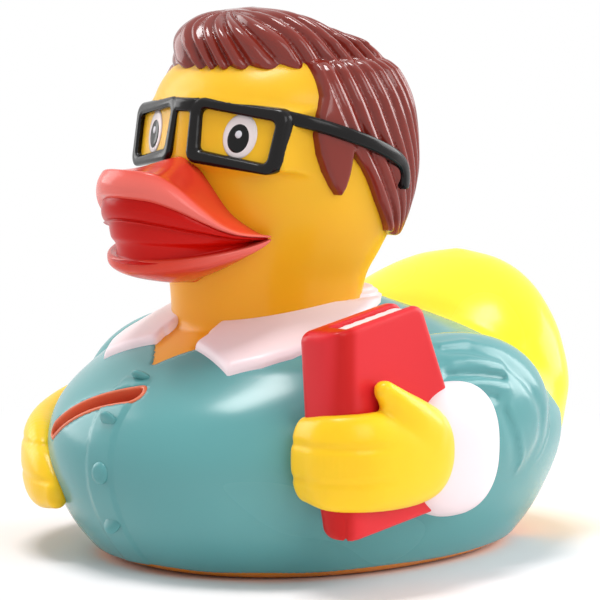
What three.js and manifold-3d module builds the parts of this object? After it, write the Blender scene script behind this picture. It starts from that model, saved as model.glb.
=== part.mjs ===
import * as THREE from 'three';
import { mergeVertices } from 'three/addons/utils/BufferGeometryUtils.js';
import Module from 'manifold-3d';

const wasm = await Module();
wasm.setup();

// A bath duck of soft vinyl, dressed in a shirt and glasses and holding a book.
// Millimetres, +Z up. The duck faces -Y and stands on its flat base at Z = 0.
// The moulding is one hollow skin, and a squeaker is pressed into its base.

// Skin
const WALL = 2.0;
const BASE_WALL = 2.4;
const CLEARANCE = 0.3;

// Body: the greatest half width, the foremost and rearmost points, and the shoulder
const BODY_HALF_WIDTH = 34.0;
const CHEST_Y = -38.7;
const RUMP_Y = 47.6;
const SHOULDER_Z = 40.0;
const BODY_MIDDLE_Y = 3.0;

// Tail
const TAIL_TIP_Z = 44.3;
const TAIL_FOOT_Z = 12.0;
const TAIL_LENGTH = 28.5;
const TAIL_HALF_WIDTH = 25.5;

// Head and neck
const HEAD_HALF_WIDTH = 19.2;
const HEAD_FRONT_Y = -21.8;
const HEAD_BACK_Y = 16.6;
const HEAD_MIDDLE_Y = -2.0;
const NECK_FOOT_Z = 30.0;
const CROWN_Z = 81.0;

// Hair
const HAIR_THICKNESS = 1.7;
const CROWN_THICKNESS = 1.0;
const STRAND_DEPTH = 0.8;
const FOREHEAD_Z = 75.0;
const NAPE_Z = 48.5;
const LEDGE_Z = 76.4;
const QUIFF_TOP_Z = 84.2;
const QUIFF_FRONT_Y = -19.0;
const QUIFF_HALF_WIDTH = 15.4;
const PARTING_Y = -10.9;
const HAIRLINE = [[-12, 68.5], [-12.3, 65.4], [-11.3, 61], [-8.8, 56.8], [-8, 56.8], [-7.1, 59.2],
  [-6.5, 62.6], [-4.5, 60.6], [-2.9, 58.5], [-0.8, 55.1], [3.2, 50.4]];

// Glasses
const GLASSES_Z = 64.3;
const GLASSES_HALF_WIDTH = 16.7;
const GLASSES_HALF_HEIGHT = 4.9;
const RIM_SLOPE = 1.9;
const BRIDGE_HALF_WIDTH = 2.4;
const BRIDGE_Y = -23.7;
const RIM_WIDTH = 1.7;
const RIM_RELIEF = 1.0;
const TEMPLE_DEPTH = 1.7;
const TEMPLE_HALF_HEIGHT = 0.95;
const TEMPLE_PATH = [[16.3, -17.6, 68.2], [18.5, -12.5, 67.0], [20.1, -8.4, 65.6], [20.9, -4.0, 64.1],
  [20.9, 0.2, 62.4], [20.2, 3.1, 60.9], [19.8, 4.3, 59.2], [19.5, 4.6, 56.8]];

// Bill
const BILL_HALF_WIDTH = 14.0;
const BILL_ROOT_Y = -19.6;
const BILL_TIP_Y = -36.1;
const BILL_CORNER_Z = 50.2;
const BILL_RIM_Z = 60.6;
const MOUTH_TOP_Z = 53.2;
const MOUTH_BOTTOM_Z = 47.2;
const CHIN_Z = 43.3;
const LIP_EDGE = 0.9;

// Shirt
const COLLAR_RELIEF = 1.4;
const BUTTON_RADIUS = 1.7;
const BUTTON_RELIEF = 0.8;
const BUTTON_HEIGHTS = [8.1, 15.9, 23.6, 29.6];
const PLACKET_RELIEF = 0.45;
const PLACKET_WIDTH = 5.6;
const PLACKET_SHIFT = -0.5;
const PLACKET_FOOT_Z = 1.5;
const PLACKET_TOP_Z = 29.2;
const NECKLINE_DEPTH = 0.8;
const NECKLINE_FOOT_Z = 28.0;
const NECKLINE_TOP_Z = 37.0;
const COLLAR_FOOT_Z = 26.0;
const COLLAR_TOP_Z = 50.0;
const NECKLINE = [[4.9, -16], [4.9, -23.6], [2.7, -25.6], [0.01, -28.4]];
const COLLAR_WING = [[4.9, -24.2], [14.2, -26.3], [17.8, -21.6], [20.6, -14], [21.8, -4], [20.6, 6],
  [16.8, 13.4], [10, 18.2], [0.01, 20.2]];

// Arms
const SLEEVE_X = 27.6;
const SLEEVE_Z = 22.4;
const SLEEVE_FRONT_Y = -17.0;
const ELBOW_Y = 26.5;
const SLEEVE_HALF_DEPTH = 8.6;
const SLEEVE_HALF_HEIGHT = 12.2;
const SLEEVE_ARCH = 0.8;
const CUFF_BACK = [33.2, 5.2, 19.2];
const CUFF_SPREAD = 3.2;
const CUFF_RADIUS = 9.7;
const CUFF_LENGTH = 9.5;
const HAND_HALF_HEIGHT = 8.5;
const FINGER_GROOVE = 0.14;

// Book
const BOOK_COVER_X = 37.0;
const BOOK_THICKNESS = 8.5;
const BOOK_CORNERS = [1.6, 1.6, 1.6, 4.2];
const BOOK_COVER = [[-27.2, 38.4], [-9.2, 41.6], [3.4, 12.2], [-25, 8]];
const BOARD_THICKNESS = 1.4;
const SPINE_WIDTH = 3.4;
const HINGE = [[-24.2, 2], [-23, 2], [-23.6, 44], [-24.8, 44]];
const HINGE_DEPTH = 0.5;
const PAGE_INSET = 0.9;

// Card slot in the breast
const SLOT_WIDTH = 1.9;
const SLOT_DEPTH = 6.0;
const SLOT_NEAR = [3.2, 28.6];
const SLOT_FAR = [-15.5, 20.2];
const SLOT_ARCH = 2.2;

// Squeaker and its seat in the base
const SQUEAKER_Y = 15.0;
const SQUEAKER_RADIUS = 5.6;
const SQUEAKER_LENGTH = 9.0;
const FLANGE_RADIUS = 7.4;
const FLANGE_THICKNESS = 0.9;
const BARB_HEIGHT = 0.6;
const AIR_HOLE_RADIUS = 0.9;
const BARB_LENGTH = 1.6;
const PLUG_WALL = 1.2;

// Smooth curve through pairs of a place and a value, with the slopes of its neighbours
function curveThrough(pairs) {
  const last = pairs.length - 1;
  const slope = (i) => {
    const before = pairs[Math.max(i - 1, 0)];
    const after = pairs[Math.min(i + 1, last)];
    return (after[1] - before[1]) / (after[0] - before[0]);
  };
  return (place) => {
    const at = Math.min(Math.max(place, pairs[0][0]), pairs[last][0]);
    let i = 0;
    while (i < last - 1 && at > pairs[i + 1][0]) i += 1;
    const span = pairs[i + 1][0] - pairs[i][0];
    const t = (at - pairs[i][0]) / span;
    const rise = t * t * (3 - 2 * t);
    return pairs[i][1] * (1 - rise) + pairs[i + 1][1] * rise
      + span * (slope(i) * t * (1 - t) ** 2 - slope(i + 1) * t * t * (1 - t));
  };
}

// Count evenly spaced values from low to high, ends included
function steps(low, high, count) {
  return Array.from({ length: count }, (_, i) => low + ((high - low) * i) / (count - 1));
}

// Closed body through rings that all have the same number of points, with a fan over each end
function loft(rings) {
  const sides = rings[0].length;
  const middle = (ring) => ring.reduce((sum, p) => sum.add(p), new THREE.Vector3()).divideScalar(sides);
  const points = [...rings.flat(), middle(rings[0]), middle(rings.at(-1))];
  const faces = [];
  for (let row = 0; row < rings.length - 1; row += 1) {
    for (let i = 0; i < sides; i += 1) {
      const a = row * sides + i;
      const b = row * sides + ((i + 1) % sides);
      faces.push(a, b, b + sides, a, b + sides, a + sides);
    }
  }
  const top = (rings.length - 1) * sides;
  for (let i = 0; i < sides; i += 1) {
    const next = (i + 1) % sides;
    faces.push(next, i, points.length - 2);
    faces.push(top + i, top + next, points.length - 1);
  }
  return new THREE.BufferGeometry().setFromPoints(points).setIndex(faces);
}

// Solid from a closed geometry, turned to face outwards
function solid(geometry) {
  const bare = geometry.clone();
  bare.deleteAttribute('normal');
  bare.deleteAttribute('uv');
  const merged = mergeVertices(bare, 1e-4);
  const corners = Uint32Array.from(merged.index.array);
  const points = Float32Array.from(merged.attributes.position.array);
  let volume = 0;
  const p = [new THREE.Vector3(), new THREE.Vector3(), new THREE.Vector3()];
  for (let i = 0; i < corners.length; i += 3) {
    p.forEach((corner, k) => corner.fromArray(points, 3 * corners[i + k]));
    volume += p[0].dot(p[1].clone().cross(p[2]));
  }
  if (volume < 0) corners.reverse();
  return new wasm.Manifold(new wasm.Mesh({ numProp: 3, vertProperties: points, triVerts: corners }));
}

function join(solids) {
  return solids.reduce((whole, piece) => whole.add(piece));
}

// The solid without the small spaces that its pieces closed off between them
function filled(shape) {
  return join(shape.decompose().filter((shell) => shell.volume() > 0));
}

// Mesh of a finished solid
function meshOf(name, shape, material) {
  const { vertProperties, triVerts } = shape.getMesh();
  const geometry = new THREE.BufferGeometry();
  geometry.setAttribute('position', new THREE.BufferAttribute(vertProperties, 3));
  geometry.setIndex(new THREE.BufferAttribute(triVerts, 1));
  geometry.computeVertexNormals();
  const mesh = new THREE.Mesh(geometry, material);
  mesh.name = name;
  return mesh;
}

// Level ring with its own reach to the front, the back and the side.
// The turn is 0 at the front and a quarter of a circle at the duck's left side.
function eggPoint(turn, z, { front, back, half, middle, power }) {
  const ahead = Math.cos(turn);
  const aside = Math.sin(turn);
  const reach = ahead > 0 ? middle - front : back - middle;
  return new THREE.Vector3(
    half * Math.sign(aside) * Math.abs(aside) ** power,
    middle - reach * Math.sign(ahead) * Math.abs(ahead) ** power,
    z,
  );
}

function turnsAround(sides) {
  return Array.from({ length: sides }, (_, i) => (2 * Math.PI * i) / sides);
}

const BODY_SIDES = 40;
const HEAD_SIDES = 32;

// Body, in shares of its height, its reach to front and back, and its half width
const bodyFront = curveThrough([[0, 0.82], [0.04, 0.89], [0.2, 0.97], [0.4, 1.0], [0.6, 0.95],
  [0.76, 0.77], [0.88, 0.57], [1, 0.36]]);
const bodyBack = curveThrough([[0, 0.82], [0.04, 0.89], [0.2, 0.97], [0.45, 1.0], [0.6, 0.93],
  [0.76, 0.74], [0.88, 0.47], [1, 0.14]]);
const bodySide = curveThrough([[0, 0.84], [0.04, 0.9], [0.2, 0.97], [0.42, 1.0], [0.6, 0.965],
  [0.76, 0.83], [0.88, 0.62], [1, 0.37]]);
const BODY_POWER = 0.91;

function bodyPoint(turn, z, out = 0) {
  const level = z / SHOULDER_Z;
  return eggPoint(turn, z, {
    front: BODY_MIDDLE_Y + (CHEST_Y - BODY_MIDDLE_Y) * bodyFront(level) - out,
    back: BODY_MIDDLE_Y + (RUMP_Y - BODY_MIDDLE_Y) * bodyBack(level) + out,
    half: BODY_HALF_WIDTH * bodySide(level) + out,
    middle: BODY_MIDDLE_Y,
    power: BODY_POWER,
  });
}

function body(out, sides, levels, lift = 1) {
  const rings = levels.map((z) => turnsAround(sides).map((turn) => {
    const point = bodyPoint(turn, z, out);
    point.z += z > SHOULDER_Z / 2 ? lift * out * (z / SHOULDER_Z) : 0;
    return point;
  }));
  return solid(loft(rings));
}

const BODY_LEVELS = [0, 0.8, 2.8, 6.5, 11.5, 16.5, 21.5, 25.5, 28.8, 31.6, 34.2, 36.4, 38.3, SHOULDER_Z];

// Tail: a broad lobe that rises behind the back, by shares of its height
const tailSide = curveThrough([[0, 0.7], [0.15, 0.88], [0.35, 1], [0.6, 0.92], [0.76, 0.76],
  [0.88, 0.55], [0.96, 0.31], [1, 0.04]]);
const tailLength = curveThrough([[0, 0.8], [0.15, 0.92], [0.35, 1], [0.6, 0.93], [0.76, 0.76],
  [0.88, 0.53], [0.96, 0.28], [1, 0.04]]);
const tailEnd = curveThrough([[0, 0.21], [0.15, 0.056], [0.35, 0.018], [0.6, 0.032], [0.76, 0.06],
  [0.88, 0.105], [0.96, 0.19], [1, 0.31]]);

function tail(out, sides, top) {
  const shares = [0, 0.22, 0.42, 0.59, 0.73, 0.84, 0.92, 0.97, 1];
  const rings = shares.map((share) => {
    const z = TAIL_FOOT_Z + (top - TAIL_FOOT_Z) * share;
    const back = RUMP_Y - TAIL_LENGTH * tailEnd(share) + out;
    const length = TAIL_LENGTH * tailLength(share) + 2 * out;
    return turnsAround(sides).map((turn) => eggPoint(turn, z, {
      front: back - length,
      back,
      half: TAIL_HALF_WIDTH * tailSide(share) + out,
      middle: back - length / 2,
      power: 0.95,
    }));
  });
  return solid(loft(rings));
}

// Head and neck, by shares of the height from the neck's foot to the crown
const headSide = curveThrough([[0, 0.78], [0.18, 0.76], [0.26, 0.78], [0.34, 0.86], [0.44, 0.95], [0.56, 1],
  [0.7, 1], [0.8, 0.96], [0.88, 0.83], [0.95, 0.58], [1, 0.06]]);
const headFront = curveThrough([[0, 0.9], [0.18, 0.92], [0.26, 0.94], [0.4, 0.98], [0.56, 1], [0.7, 1],
  [0.8, 0.965], [0.88, 0.83], [0.95, 0.56], [1, 0.05]]);
const headBack = curveThrough([[0, 0.54], [0.18, 0.5], [0.26, 0.54], [0.34, 0.7], [0.44, 0.88], [0.56, 1],
  [0.68, 1], [0.79, 0.93], [0.88, 0.78], [0.95, 0.55], [1, 0.06]]);
const HEAD_POWER = 0.92;

function headPoint(turn, z, out = 0) {
  const level = (z - NECK_FOOT_Z) / (CROWN_Z - NECK_FOOT_Z);
  return eggPoint(turn, z, {
    front: HEAD_MIDDLE_Y + (HEAD_FRONT_Y - HEAD_MIDDLE_Y) * headFront(level) - out,
    back: HEAD_MIDDLE_Y + (HEAD_BACK_Y - HEAD_MIDDLE_Y) * headBack(level) + out,
    half: HEAD_HALF_WIDTH * headSide(level) + out,
    middle: HEAD_MIDDLE_Y,
    power: HEAD_POWER,
  });
}

const HEAD_SHARES = [0, 0.16, 0.23, 0.3, 0.37, 0.45, 0.54, 0.63, 0.71, 0.78, 0.84, 0.9, 0.94, 0.975, 1];

function head(out, sides, shares) {
  const middleZ = (NECK_FOOT_Z + CROWN_Z) / 2;
  const rings = shares.map((share) => {
    const z = NECK_FOOT_Z + share * (CROWN_Z - NECK_FOOT_Z);
    const lift = z > middleZ ? (out * (z - middleZ)) / (CROWN_Z - middleZ) : 0;
    return turnsAround(sides).map((turn) => headPoint(turn, z, out).add(new THREE.Vector3(0, 0, lift)));
  });
  return solid(loft(rings));
}

// Prism along X of an outline in the Y-Z plane, from one X to another
function prismAlongX(outline, from, to) {
  const shape = new THREE.Shape(outline.map(([y, z]) => new THREE.Vector2(y, z)));
  const geometry = new THREE.ExtrudeGeometry(shape, { depth: to - from, bevelEnabled: false });
  geometry.applyMatrix4(new THREE.Matrix4().makeBasis(
    new THREE.Vector3(0, 1, 0), new THREE.Vector3(0, 0, 1), new THREE.Vector3(1, 0, 0),
  ));
  return solid(geometry.translate(from, 0, 0));
}

// Prism upwards of a plan outline
function prismUp(outline, from, to) {
  const shape = new THREE.Shape(outline.map(([x, y]) => new THREE.Vector2(x, y)));
  const geometry = new THREE.ExtrudeGeometry(shape, { depth: to - from, bevelEnabled: false });
  return solid(geometry.translate(0, 0, from));
}

const mirrored = (outline) => [...outline, ...outline.slice().reverse().map(([x, y]) => [-x, y])];

// Hair of the sides and back: strands run down and backwards, every second column is a groove
function sideHair() {
  const COLUMNS = 52;
  const SWEEP = 0.42;
  const foot = NAPE_Z - 3;
  const levels = [...steps(foot, LEDGE_Z - 1.6, 9), LEDGE_Z - 0.5, LEDGE_Z];
  const rings = levels.map((z, row) => {
    const down = 1 - (z - foot) / (LEDGE_Z - foot);
    const rounded = [0.5, 2.6][row - levels.length + 2] ?? 0;
    return turnsAround(COLUMNS).map((turn, i) => {
      const swept = turn + SWEEP * down * Math.sin(turn);
      const groove = i % 2 ? STRAND_DEPTH : 0;
      return headPoint(swept, z, HAIR_THICKNESS - groove - rounded);
    });
  });
  const past = 1.6 * HEAD_HALF_WIDTH;
  const hairline = [[PARTING_Y + 1.5, 2 * FOREHEAD_Z], [PARTING_Y, FOREHEAD_Z], [PARTING_Y, FOREHEAD_Z - 4],
    ...HAIRLINE, [6, NAPE_Z + 1], [14, NAPE_Z], [past, NAPE_Z], [past, 2 * FOREHEAD_Z]];
  return solid(loft(rings)).intersect(prismAlongX(hairline, -past, past));
}

// Hair of the crown: strands leave a whorl above the forehead and wind down to the ledge
function topHair() {
  const COLUMNS = 40;
  const WIND = 0.85;
  const front = curveThrough([[0, 0.86], [0.12, 0.98], [0.35, 1], [0.6, 0.98], [0.8, 0.88],
    [0.93, 0.68], [1, 0.42]]);
  const back = curveThrough([[0, 0.95], [0.12, 0.9], [0.35, 0.72], [0.6, 0.45], [0.8, 0.18],
    [0.93, -0.08], [1, -0.3]]);
  const half = curveThrough([[0, 0.94], [0.12, 1], [0.35, 0.96], [0.6, 0.85], [0.8, 0.66],
    [0.93, 0.43], [1, 0.05]]);
  const foot = FOREHEAD_Z - 1.2;
  const shares = [0, 0.14, 0.32, 0.5, 0.67, 0.82, 0.93, 1];
  const rings = shares.map((share) => {
    const z = foot + (QUIFF_TOP_Z - foot) * share;
    const reach = {
      front: HEAD_MIDDLE_Y + (QUIFF_FRONT_Y - HEAD_MIDDLE_Y) * front(share),
      back: HEAD_MIDDLE_Y + (HEAD_BACK_Y - HEAD_MIDDLE_Y) * 0.86 * back(share),
      half: QUIFF_HALF_WIDTH * half(share),
      power: 0.95,
    };
    reach.middle = (reach.front + reach.back) / 2;
    return turnsAround(COLUMNS).map((turn, i) => {
      const groove = i % 2 ? 1 - STRAND_DEPTH / QUIFF_HALF_WIDTH : 1;
      const point = eggPoint(turn + WIND * (1 - share), z, reach);
      return new THREE.Vector3(point.x * groove, reach.middle + (point.y - reach.middle) * groove, z);
    });
  });
  return solid(loft(rings));
}

// Hair between the quiff and the ledge
function crownHair() {
  const past = 1.6 * HEAD_HALF_WIDTH;
  const front = PARTING_Y + HAIR_THICKNESS + CROWN_THICKNESS;
  const outline = [[-past, front], [past, front], [past, past], [-past, past]];
  const behind = prismUp(outline, FOREHEAD_Z, QUIFF_TOP_Z);
  return head(CROWN_THICKNESS, HEAD_SIDES, HEAD_SHARES.slice(8)).intersect(behind);
}

// Front face of the glasses: wrapped round the face, leaning in at the bottom
function glassesFace(x, z) {
  const WRAP = 0.43;
  const EASE = 3;
  const LEAN = 0.15;
  return BRIDGE_Y + WRAP * (Math.hypot(x, EASE) - EASE) + LEAN * (z - GLASSES_Z);
}

// Outline of one rim, for the duck's left side: a box that slopes down outwards, with rounded corners
function rimOutline(inset) {
  const top = GLASSES_Z + GLASSES_HALF_HEIGHT - inset;
  const foot = GLASSES_Z - GLASSES_HALF_HEIGHT + inset;
  const inner = BRIDGE_HALF_WIDTH + inset;
  const outer = GLASSES_HALF_WIDTH - inset;
  const corners = [[inner + 0.9, foot + RIM_SLOPE], [outer - 0.4, foot], [outer, top], [inner, top + RIM_SLOPE]];
  const path = new THREE.Path();
  const round = 1.5 - inset * 0.3;
  corners.forEach(([x, z], i) => {
    const corner = new THREE.Vector2(x, z);
    const towards = (k) => new THREE.Vector2(...corners[k % 4]).sub(corner).setLength(round).add(corner);
    const before = towards(i + 3);
    const after = towards(i + 1);
    if (i === 0) path.moveTo(before.x, before.y);
    else path.lineTo(before.x, before.y);
    path.quadraticCurveTo(x, z, after.x, after.y);
  });
  path.closePath();
  return path.getPoints(3).slice(0, -1);
}

// Slab behind an outline on the face of the glasses, from one depth to another
function facePlate(outline, hole, near, far, side) {
  const shape = new THREE.Shape(outline);
  if (hole) shape.holes.push(new THREE.Path(hole));
  const geometry = new THREE.ExtrudeGeometry(shape, { depth: 1, bevelEnabled: false });
  const points = geometry.attributes.position;
  for (let i = 0; i < points.count; i += 1) {
    const x = points.getX(i);
    const z = points.getY(i);
    const depth = points.getZ(i) > 0.5 ? near : far;
    points.setXYZ(i, side * x, glassesFace(x, z) + depth, z);
  }
  return solid(geometry);
}

function rim(side) {
  return facePlate(rimOutline(0), rimOutline(RIM_WIDTH), 0, RIM_RELIEF + 0.8, side);
}

function bridge() {
  const top = GLASSES_Z + GLASSES_HALF_HEIGHT + RIM_SLOPE;
  const reach = BRIDGE_HALF_WIDTH + RIM_WIDTH;
  const outline = [[-reach, top - 2.6], [0, top - 2.3], [reach, top - 2.6], [reach, top - 0.3],
    [0, top - 0.2], [-reach, top - 0.3]].map(([x, z]) => new THREE.Vector2(x, z));
  return facePlate(outline, null, 0.2, RIM_RELIEF + 2, 1);
}

// Eye pads: the face filled out behind the rims, faired into the forehead, cheeks and temples
function eyePads() {
  const edge = GLASSES_HALF_WIDTH + 0.6;
  const turnedBack = GLASSES_HALF_WIDTH - 0.4;
  const rings = steps(-edge, edge, 21).map((x) => {
    const aside = Math.min(Math.abs(x) / GLASSES_HALF_WIDTH, 1);
    const past = Math.max(Math.abs(x) - turnedBack, 0);
    const slope = RIM_SLOPE * (1 - aside);
    const front = (z) => glassesFace(x, z) + RIM_RELIEF + 5.5 * past ** 1.3;
    const top = GLASSES_Z + GLASSES_HALF_HEIGHT + slope - 0.8 * past;
    const foot = GLASSES_Z - GLASSES_HALF_HEIGHT + slope * 0.6 + 0.8 * past;
    const spread = 1 + 4 * (1 - aside ** 2);
    return [
      new THREE.Vector3(x * 0.86, -8, foot - spread), new THREE.Vector3(x, front(foot) + 0.5, foot - 0.4),
      new THREE.Vector3(x, front(foot + 0.6), foot + 0.6), new THREE.Vector3(x, front(GLASSES_Z), GLASSES_Z),
      new THREE.Vector3(x, front(top - 0.6), top - 0.6), new THREE.Vector3(x, front(top) + 0.5, top + 0.4),
      new THREE.Vector3(x * 0.86, -8, top + spread),
    ];
  });
  return solid(loft(rings));
}

// Bar swept along a path, flat against the head: each station has a centre and a height
function temple(side) {
  const path = new THREE.CatmullRomCurve3(TEMPLE_PATH.map(([x, y, z]) => new THREE.Vector3(side * x, y, z)));
  const middle = new THREE.Vector3(0, HEAD_MIDDLE_Y, 0);
  const rings = steps(0, 1, 13).map((share) => {
    const at = path.getPoint(share);
    const along = path.getTangent(share);
    const outward = at.clone().sub(middle).setZ(0).normalize();
    const half = TEMPLE_HALF_HEIGHT * (share > 0.99 ? 0.6 : 1);
    const height = along.clone().cross(outward).normalize().multiplyScalar(half);
    const depth = outward.clone().multiplyScalar(TEMPLE_DEPTH);
    return [[0.25, 1], [0.25, -1], [-0.8, -1], [-0.8, 1]].map(([d, h]) => at.clone()
      .addScaledVector(depth, d).addScaledVector(height, h));
  });
  return solid(loft(rings));
}

// Bill: a plan half ellipse, from corner to corner, by the turn from straight ahead
const rimRise = curveThrough([[0, 1], [0.17, 0.99], [0.28, 0.95], [0.38, 0.83], [0.47, 0.68], [0.6, 0.4],
  [0.7, 0.2], [0.81, 0.07], [1, 0]]);

function billPlace(turn, share, z, reach) {
  return new THREE.Vector3(
    BILL_HALF_WIDTH * Math.sin(turn) * share,
    BILL_ROOT_Y + 2 + (reach - BILL_ROOT_Y - 2) * Math.cos(turn) * share,
    z,
  );
}

function upperBill() {
  const rings = steps(-90, 90, 19).map((degrees) => {
    const turn = THREE.MathUtils.degToRad(degrees);
    const ahead = Math.cos(turn);
    const rise = rimRise(Math.abs(degrees) / 90);
    const rimZ = BILL_CORNER_Z + 0.5 + (BILL_RIM_Z - BILL_CORNER_Z - 0.5) * rise;
    const mouthZ = BILL_CORNER_Z + (MOUTH_TOP_Z - BILL_CORNER_Z) * ahead ** 0.8;
    const rootZ = BILL_CORNER_Z + 1 + (BILL_RIM_Z + 1.2 - BILL_CORNER_Z - 1) * ahead ** 0.62;
    const saddleZ = (rimZ + rootZ) / 2 - 0.7 * ahead;
    return [
      [0.04, mouthZ + 0.2], [0.04, rootZ], [0.36, rootZ], [0.62, saddleZ + 0.25],
      [0.82, (saddleZ + rimZ) / 2 - 0.15], [0.965, rimZ], [1.0, rimZ - 0.35 * ahead],
      [0.99, rimZ - LIP_EDGE * ahead - 0.2],
      [0.95, mouthZ + (rimZ - mouthZ) * 0.42], [0.915, mouthZ + 0.5 * ahead], [0.88, mouthZ],
      [0.5, mouthZ + 0.2 * ahead],
    ].map(([share, z]) => billPlace(turn, share, z, BILL_TIP_Y));
  });
  return solid(loft(rings));
}

function lowerBill() {
  const tip = BILL_TIP_Y + 1.9;
  const rings = steps(-90, 90, 19).map((degrees) => {
    const turn = THREE.MathUtils.degToRad(degrees);
    const ahead = Math.cos(turn);
    const lipZ = BILL_CORNER_Z - 0.1 - (BILL_CORNER_Z - MOUTH_BOTTOM_Z) * ahead ** 0.8;
    const underZ = lipZ - 0.3 - 1.6 * ahead ** 0.5;
    const chinZ = BILL_CORNER_Z - 0.4 - (BILL_CORNER_Z - CHIN_Z - 0.2) * ahead ** 0.45;
    return [
      [0.04, lipZ - 0.8 * ahead], [0.5, lipZ - 0.9 * ahead], [0.86, lipZ - 0.5 * ahead], [0.93, lipZ],
      [0.985, lipZ], [1.0, lipZ - 0.5 * ahead], [0.985, underZ], [0.86, (underZ + chinZ) / 2 + 0.1],
      [0.62, chinZ + 0.35 * ahead], [0.4, chinZ], [0.04, chinZ],
    ].map(([share, z]) => billPlace(turn, share * (0.93 + 0.07 * Math.sin(Math.abs(turn))), z, tip));
  });
  return solid(loft(rings));
}

// Back wall of the mouth, between the two halves of the bill
function mouthWall() {
  const DEPTH_SHARE = 0.66;
  const rings = steps(-90, 90, 13).map((degrees) => {
    const turn = THREE.MathUtils.degToRad(degrees);
    const ahead = Math.cos(turn) ** 0.8;
    const foot = BILL_CORNER_Z - 0.7 - (BILL_CORNER_Z - MOUTH_BOTTOM_Z + 1.2) * ahead;
    const top = BILL_CORNER_Z + 0.5 + (MOUTH_TOP_Z + 0.4 - BILL_CORNER_Z) * ahead;
    return [[0.03, foot], [0.03, top], [DEPTH_SHARE, top], [DEPTH_SHARE, foot]]
      .map(([share, z]) => billPlace(turn, share, z, BILL_TIP_Y));
  });
  return solid(loft(rings));
}

// Collar: two wings that lie on the shoulders and meet behind the neck
function collar() {
  const wings = prismUp(mirrored(COLLAR_WING), COLLAR_FOOT_Z, COLLAR_TOP_Z);
  return body(COLLAR_RELIEF, BODY_SIDES, BODY_LEVELS.slice(7), 0.4).intersect(wings);
}

// Open neckline: a shallow recess that shows the breast between the wings
function neckline() {
  const opening = prismUp(mirrored(NECKLINE), NECKLINE_FOOT_Z, NECKLINE_TOP_Z);
  return opening.subtract(body(-NECKLINE_DEPTH, BODY_SIDES, BODY_LEVELS.slice(7)));
}

// Placket with its row of buttons
function placket() {
  const from = PLACKET_SHIFT - PLACKET_WIDTH / 2;
  const to = PLACKET_SHIFT + PLACKET_WIDTH / 2;
  const outline = [[from, 1.5 * CHEST_Y], [to, 1.5 * CHEST_Y], [to, 0.5 * CHEST_Y], [from, 0.5 * CHEST_Y]];
  const strip = prismUp(outline, PLACKET_FOOT_Z, PLACKET_TOP_Z);
  return body(PLACKET_RELIEF, BODY_SIDES, BODY_LEVELS.slice(0, 10)).intersect(strip);
}

function button(z) {
  const seat = bodyPoint(0, z, PLACKET_RELIEF);
  const above = bodyPoint(0, z + 0.5, PLACKET_RELIEF);
  const rise = above.sub(seat).normalize();
  const outward = new THREE.Vector3(1, 0, 0).cross(rise).negate();
  const geometry = new THREE.CylinderGeometry(BUTTON_RADIUS * 0.85, BUTTON_RADIUS, 2 + BUTTON_RELIEF, 12);
  geometry.translate(0, -(2 + BUTTON_RELIEF) / 2 + BUTTON_RELIEF, 0);
  geometry.applyQuaternion(new THREE.Quaternion().setFromUnitVectors(
    new THREE.Vector3(0, 1, 0), outward.y < 0 ? outward : outward.negate(),
  ));
  return solid(geometry.translate(seat.x, seat.y, seat.z));
}

const UP = new THREE.Vector3(0, 0, 1);

// Tube of changing size along a curve: its height is the size, its depth a share of that.
// A power under 1 squares its section, and a groove marks three fingers on its outer side.
function limb(points, sizes, { sides, stations, flat = 1, power = 1, groove = () => 0 }) {
  const path = new THREE.CatmullRomCurve3(points.map((p) => new THREE.Vector3(...p)));
  const size = curveThrough(sizes);
  const squared = (share) => Math.sign(share) * Math.abs(share) ** power;
  const rings = steps(0, 1, stations).map((share) => {
    const at = path.getPoint(share);
    const along = path.getTangent(share);
    const outward = along.clone().cross(UP).normalize();
    const upward = outward.clone().cross(along).normalize();
    return turnsAround(sides).map((turn) => {
      const height = squared(Math.cos(turn));
      const finger = 1 - groove(share) * Math.cos(1.5 * Math.PI * height) ** 2;
      return at.clone()
        .addScaledVector(upward, size(share) * height)
        .addScaledVector(outward, size(share) * flat * squared(Math.sin(turn)) * finger);
    });
  });
  return solid(loft(rings));
}

const fingersFromHalfWay = (share) => FINGER_GROOVE * Math.min(Math.max(2.5 * (share - 0.45), 0), 1);

// Sleeve: a puffed arm, bent back at the elbow, that lies against the side
function sleeve(side) {
  const girth = curveThrough([[0, 0.1], [0.07, 0.46], [0.18, 0.72], [0.34, 0.93], [0.5, 1], [0.68, 0.95],
    [0.84, 0.74], [0.94, 0.47], [1, 0.1]]);
  const rings = steps(0, 1, 13).map((share) => {
    const y = ELBOW_Y + (SLEEVE_FRONT_Y - ELBOW_Y) * share;
    const size = girth(share);
    return turnsAround(16).map((turn) => new THREE.Vector3(
      side * (SLEEVE_X + SLEEVE_HALF_DEPTH * size * Math.cos(turn)),
      y,
      SLEEVE_Z + 4 * SLEEVE_ARCH * share * (1 - share) + SLEEVE_HALF_HEIGHT * size * Math.sin(turn),
    ));
  });
  return solid(loft(rings));
}

function cuff(side) {
  const [x, y, z] = CUFF_BACK;
  const back = new THREE.Vector3(side * x, y, z);
  const along = new THREE.Vector3(side * CUFF_SPREAD, -CUFF_LENGTH, 0.6);
  const profile = [[0, 0.86], [0.08, 0.97], [0.3, 1.02], [0.7, 1.0], [0.92, 0.95], [1, 0.84]];
  return limb(
    profile.map(([share]) => back.clone().addScaledVector(along, share).toArray()),
    profile.map(([, size], i) => [i / (profile.length - 1), size * CUFF_RADIUS]),
    { sides: 20, stations: 6, flat: 0.66 },
  );
}

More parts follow.
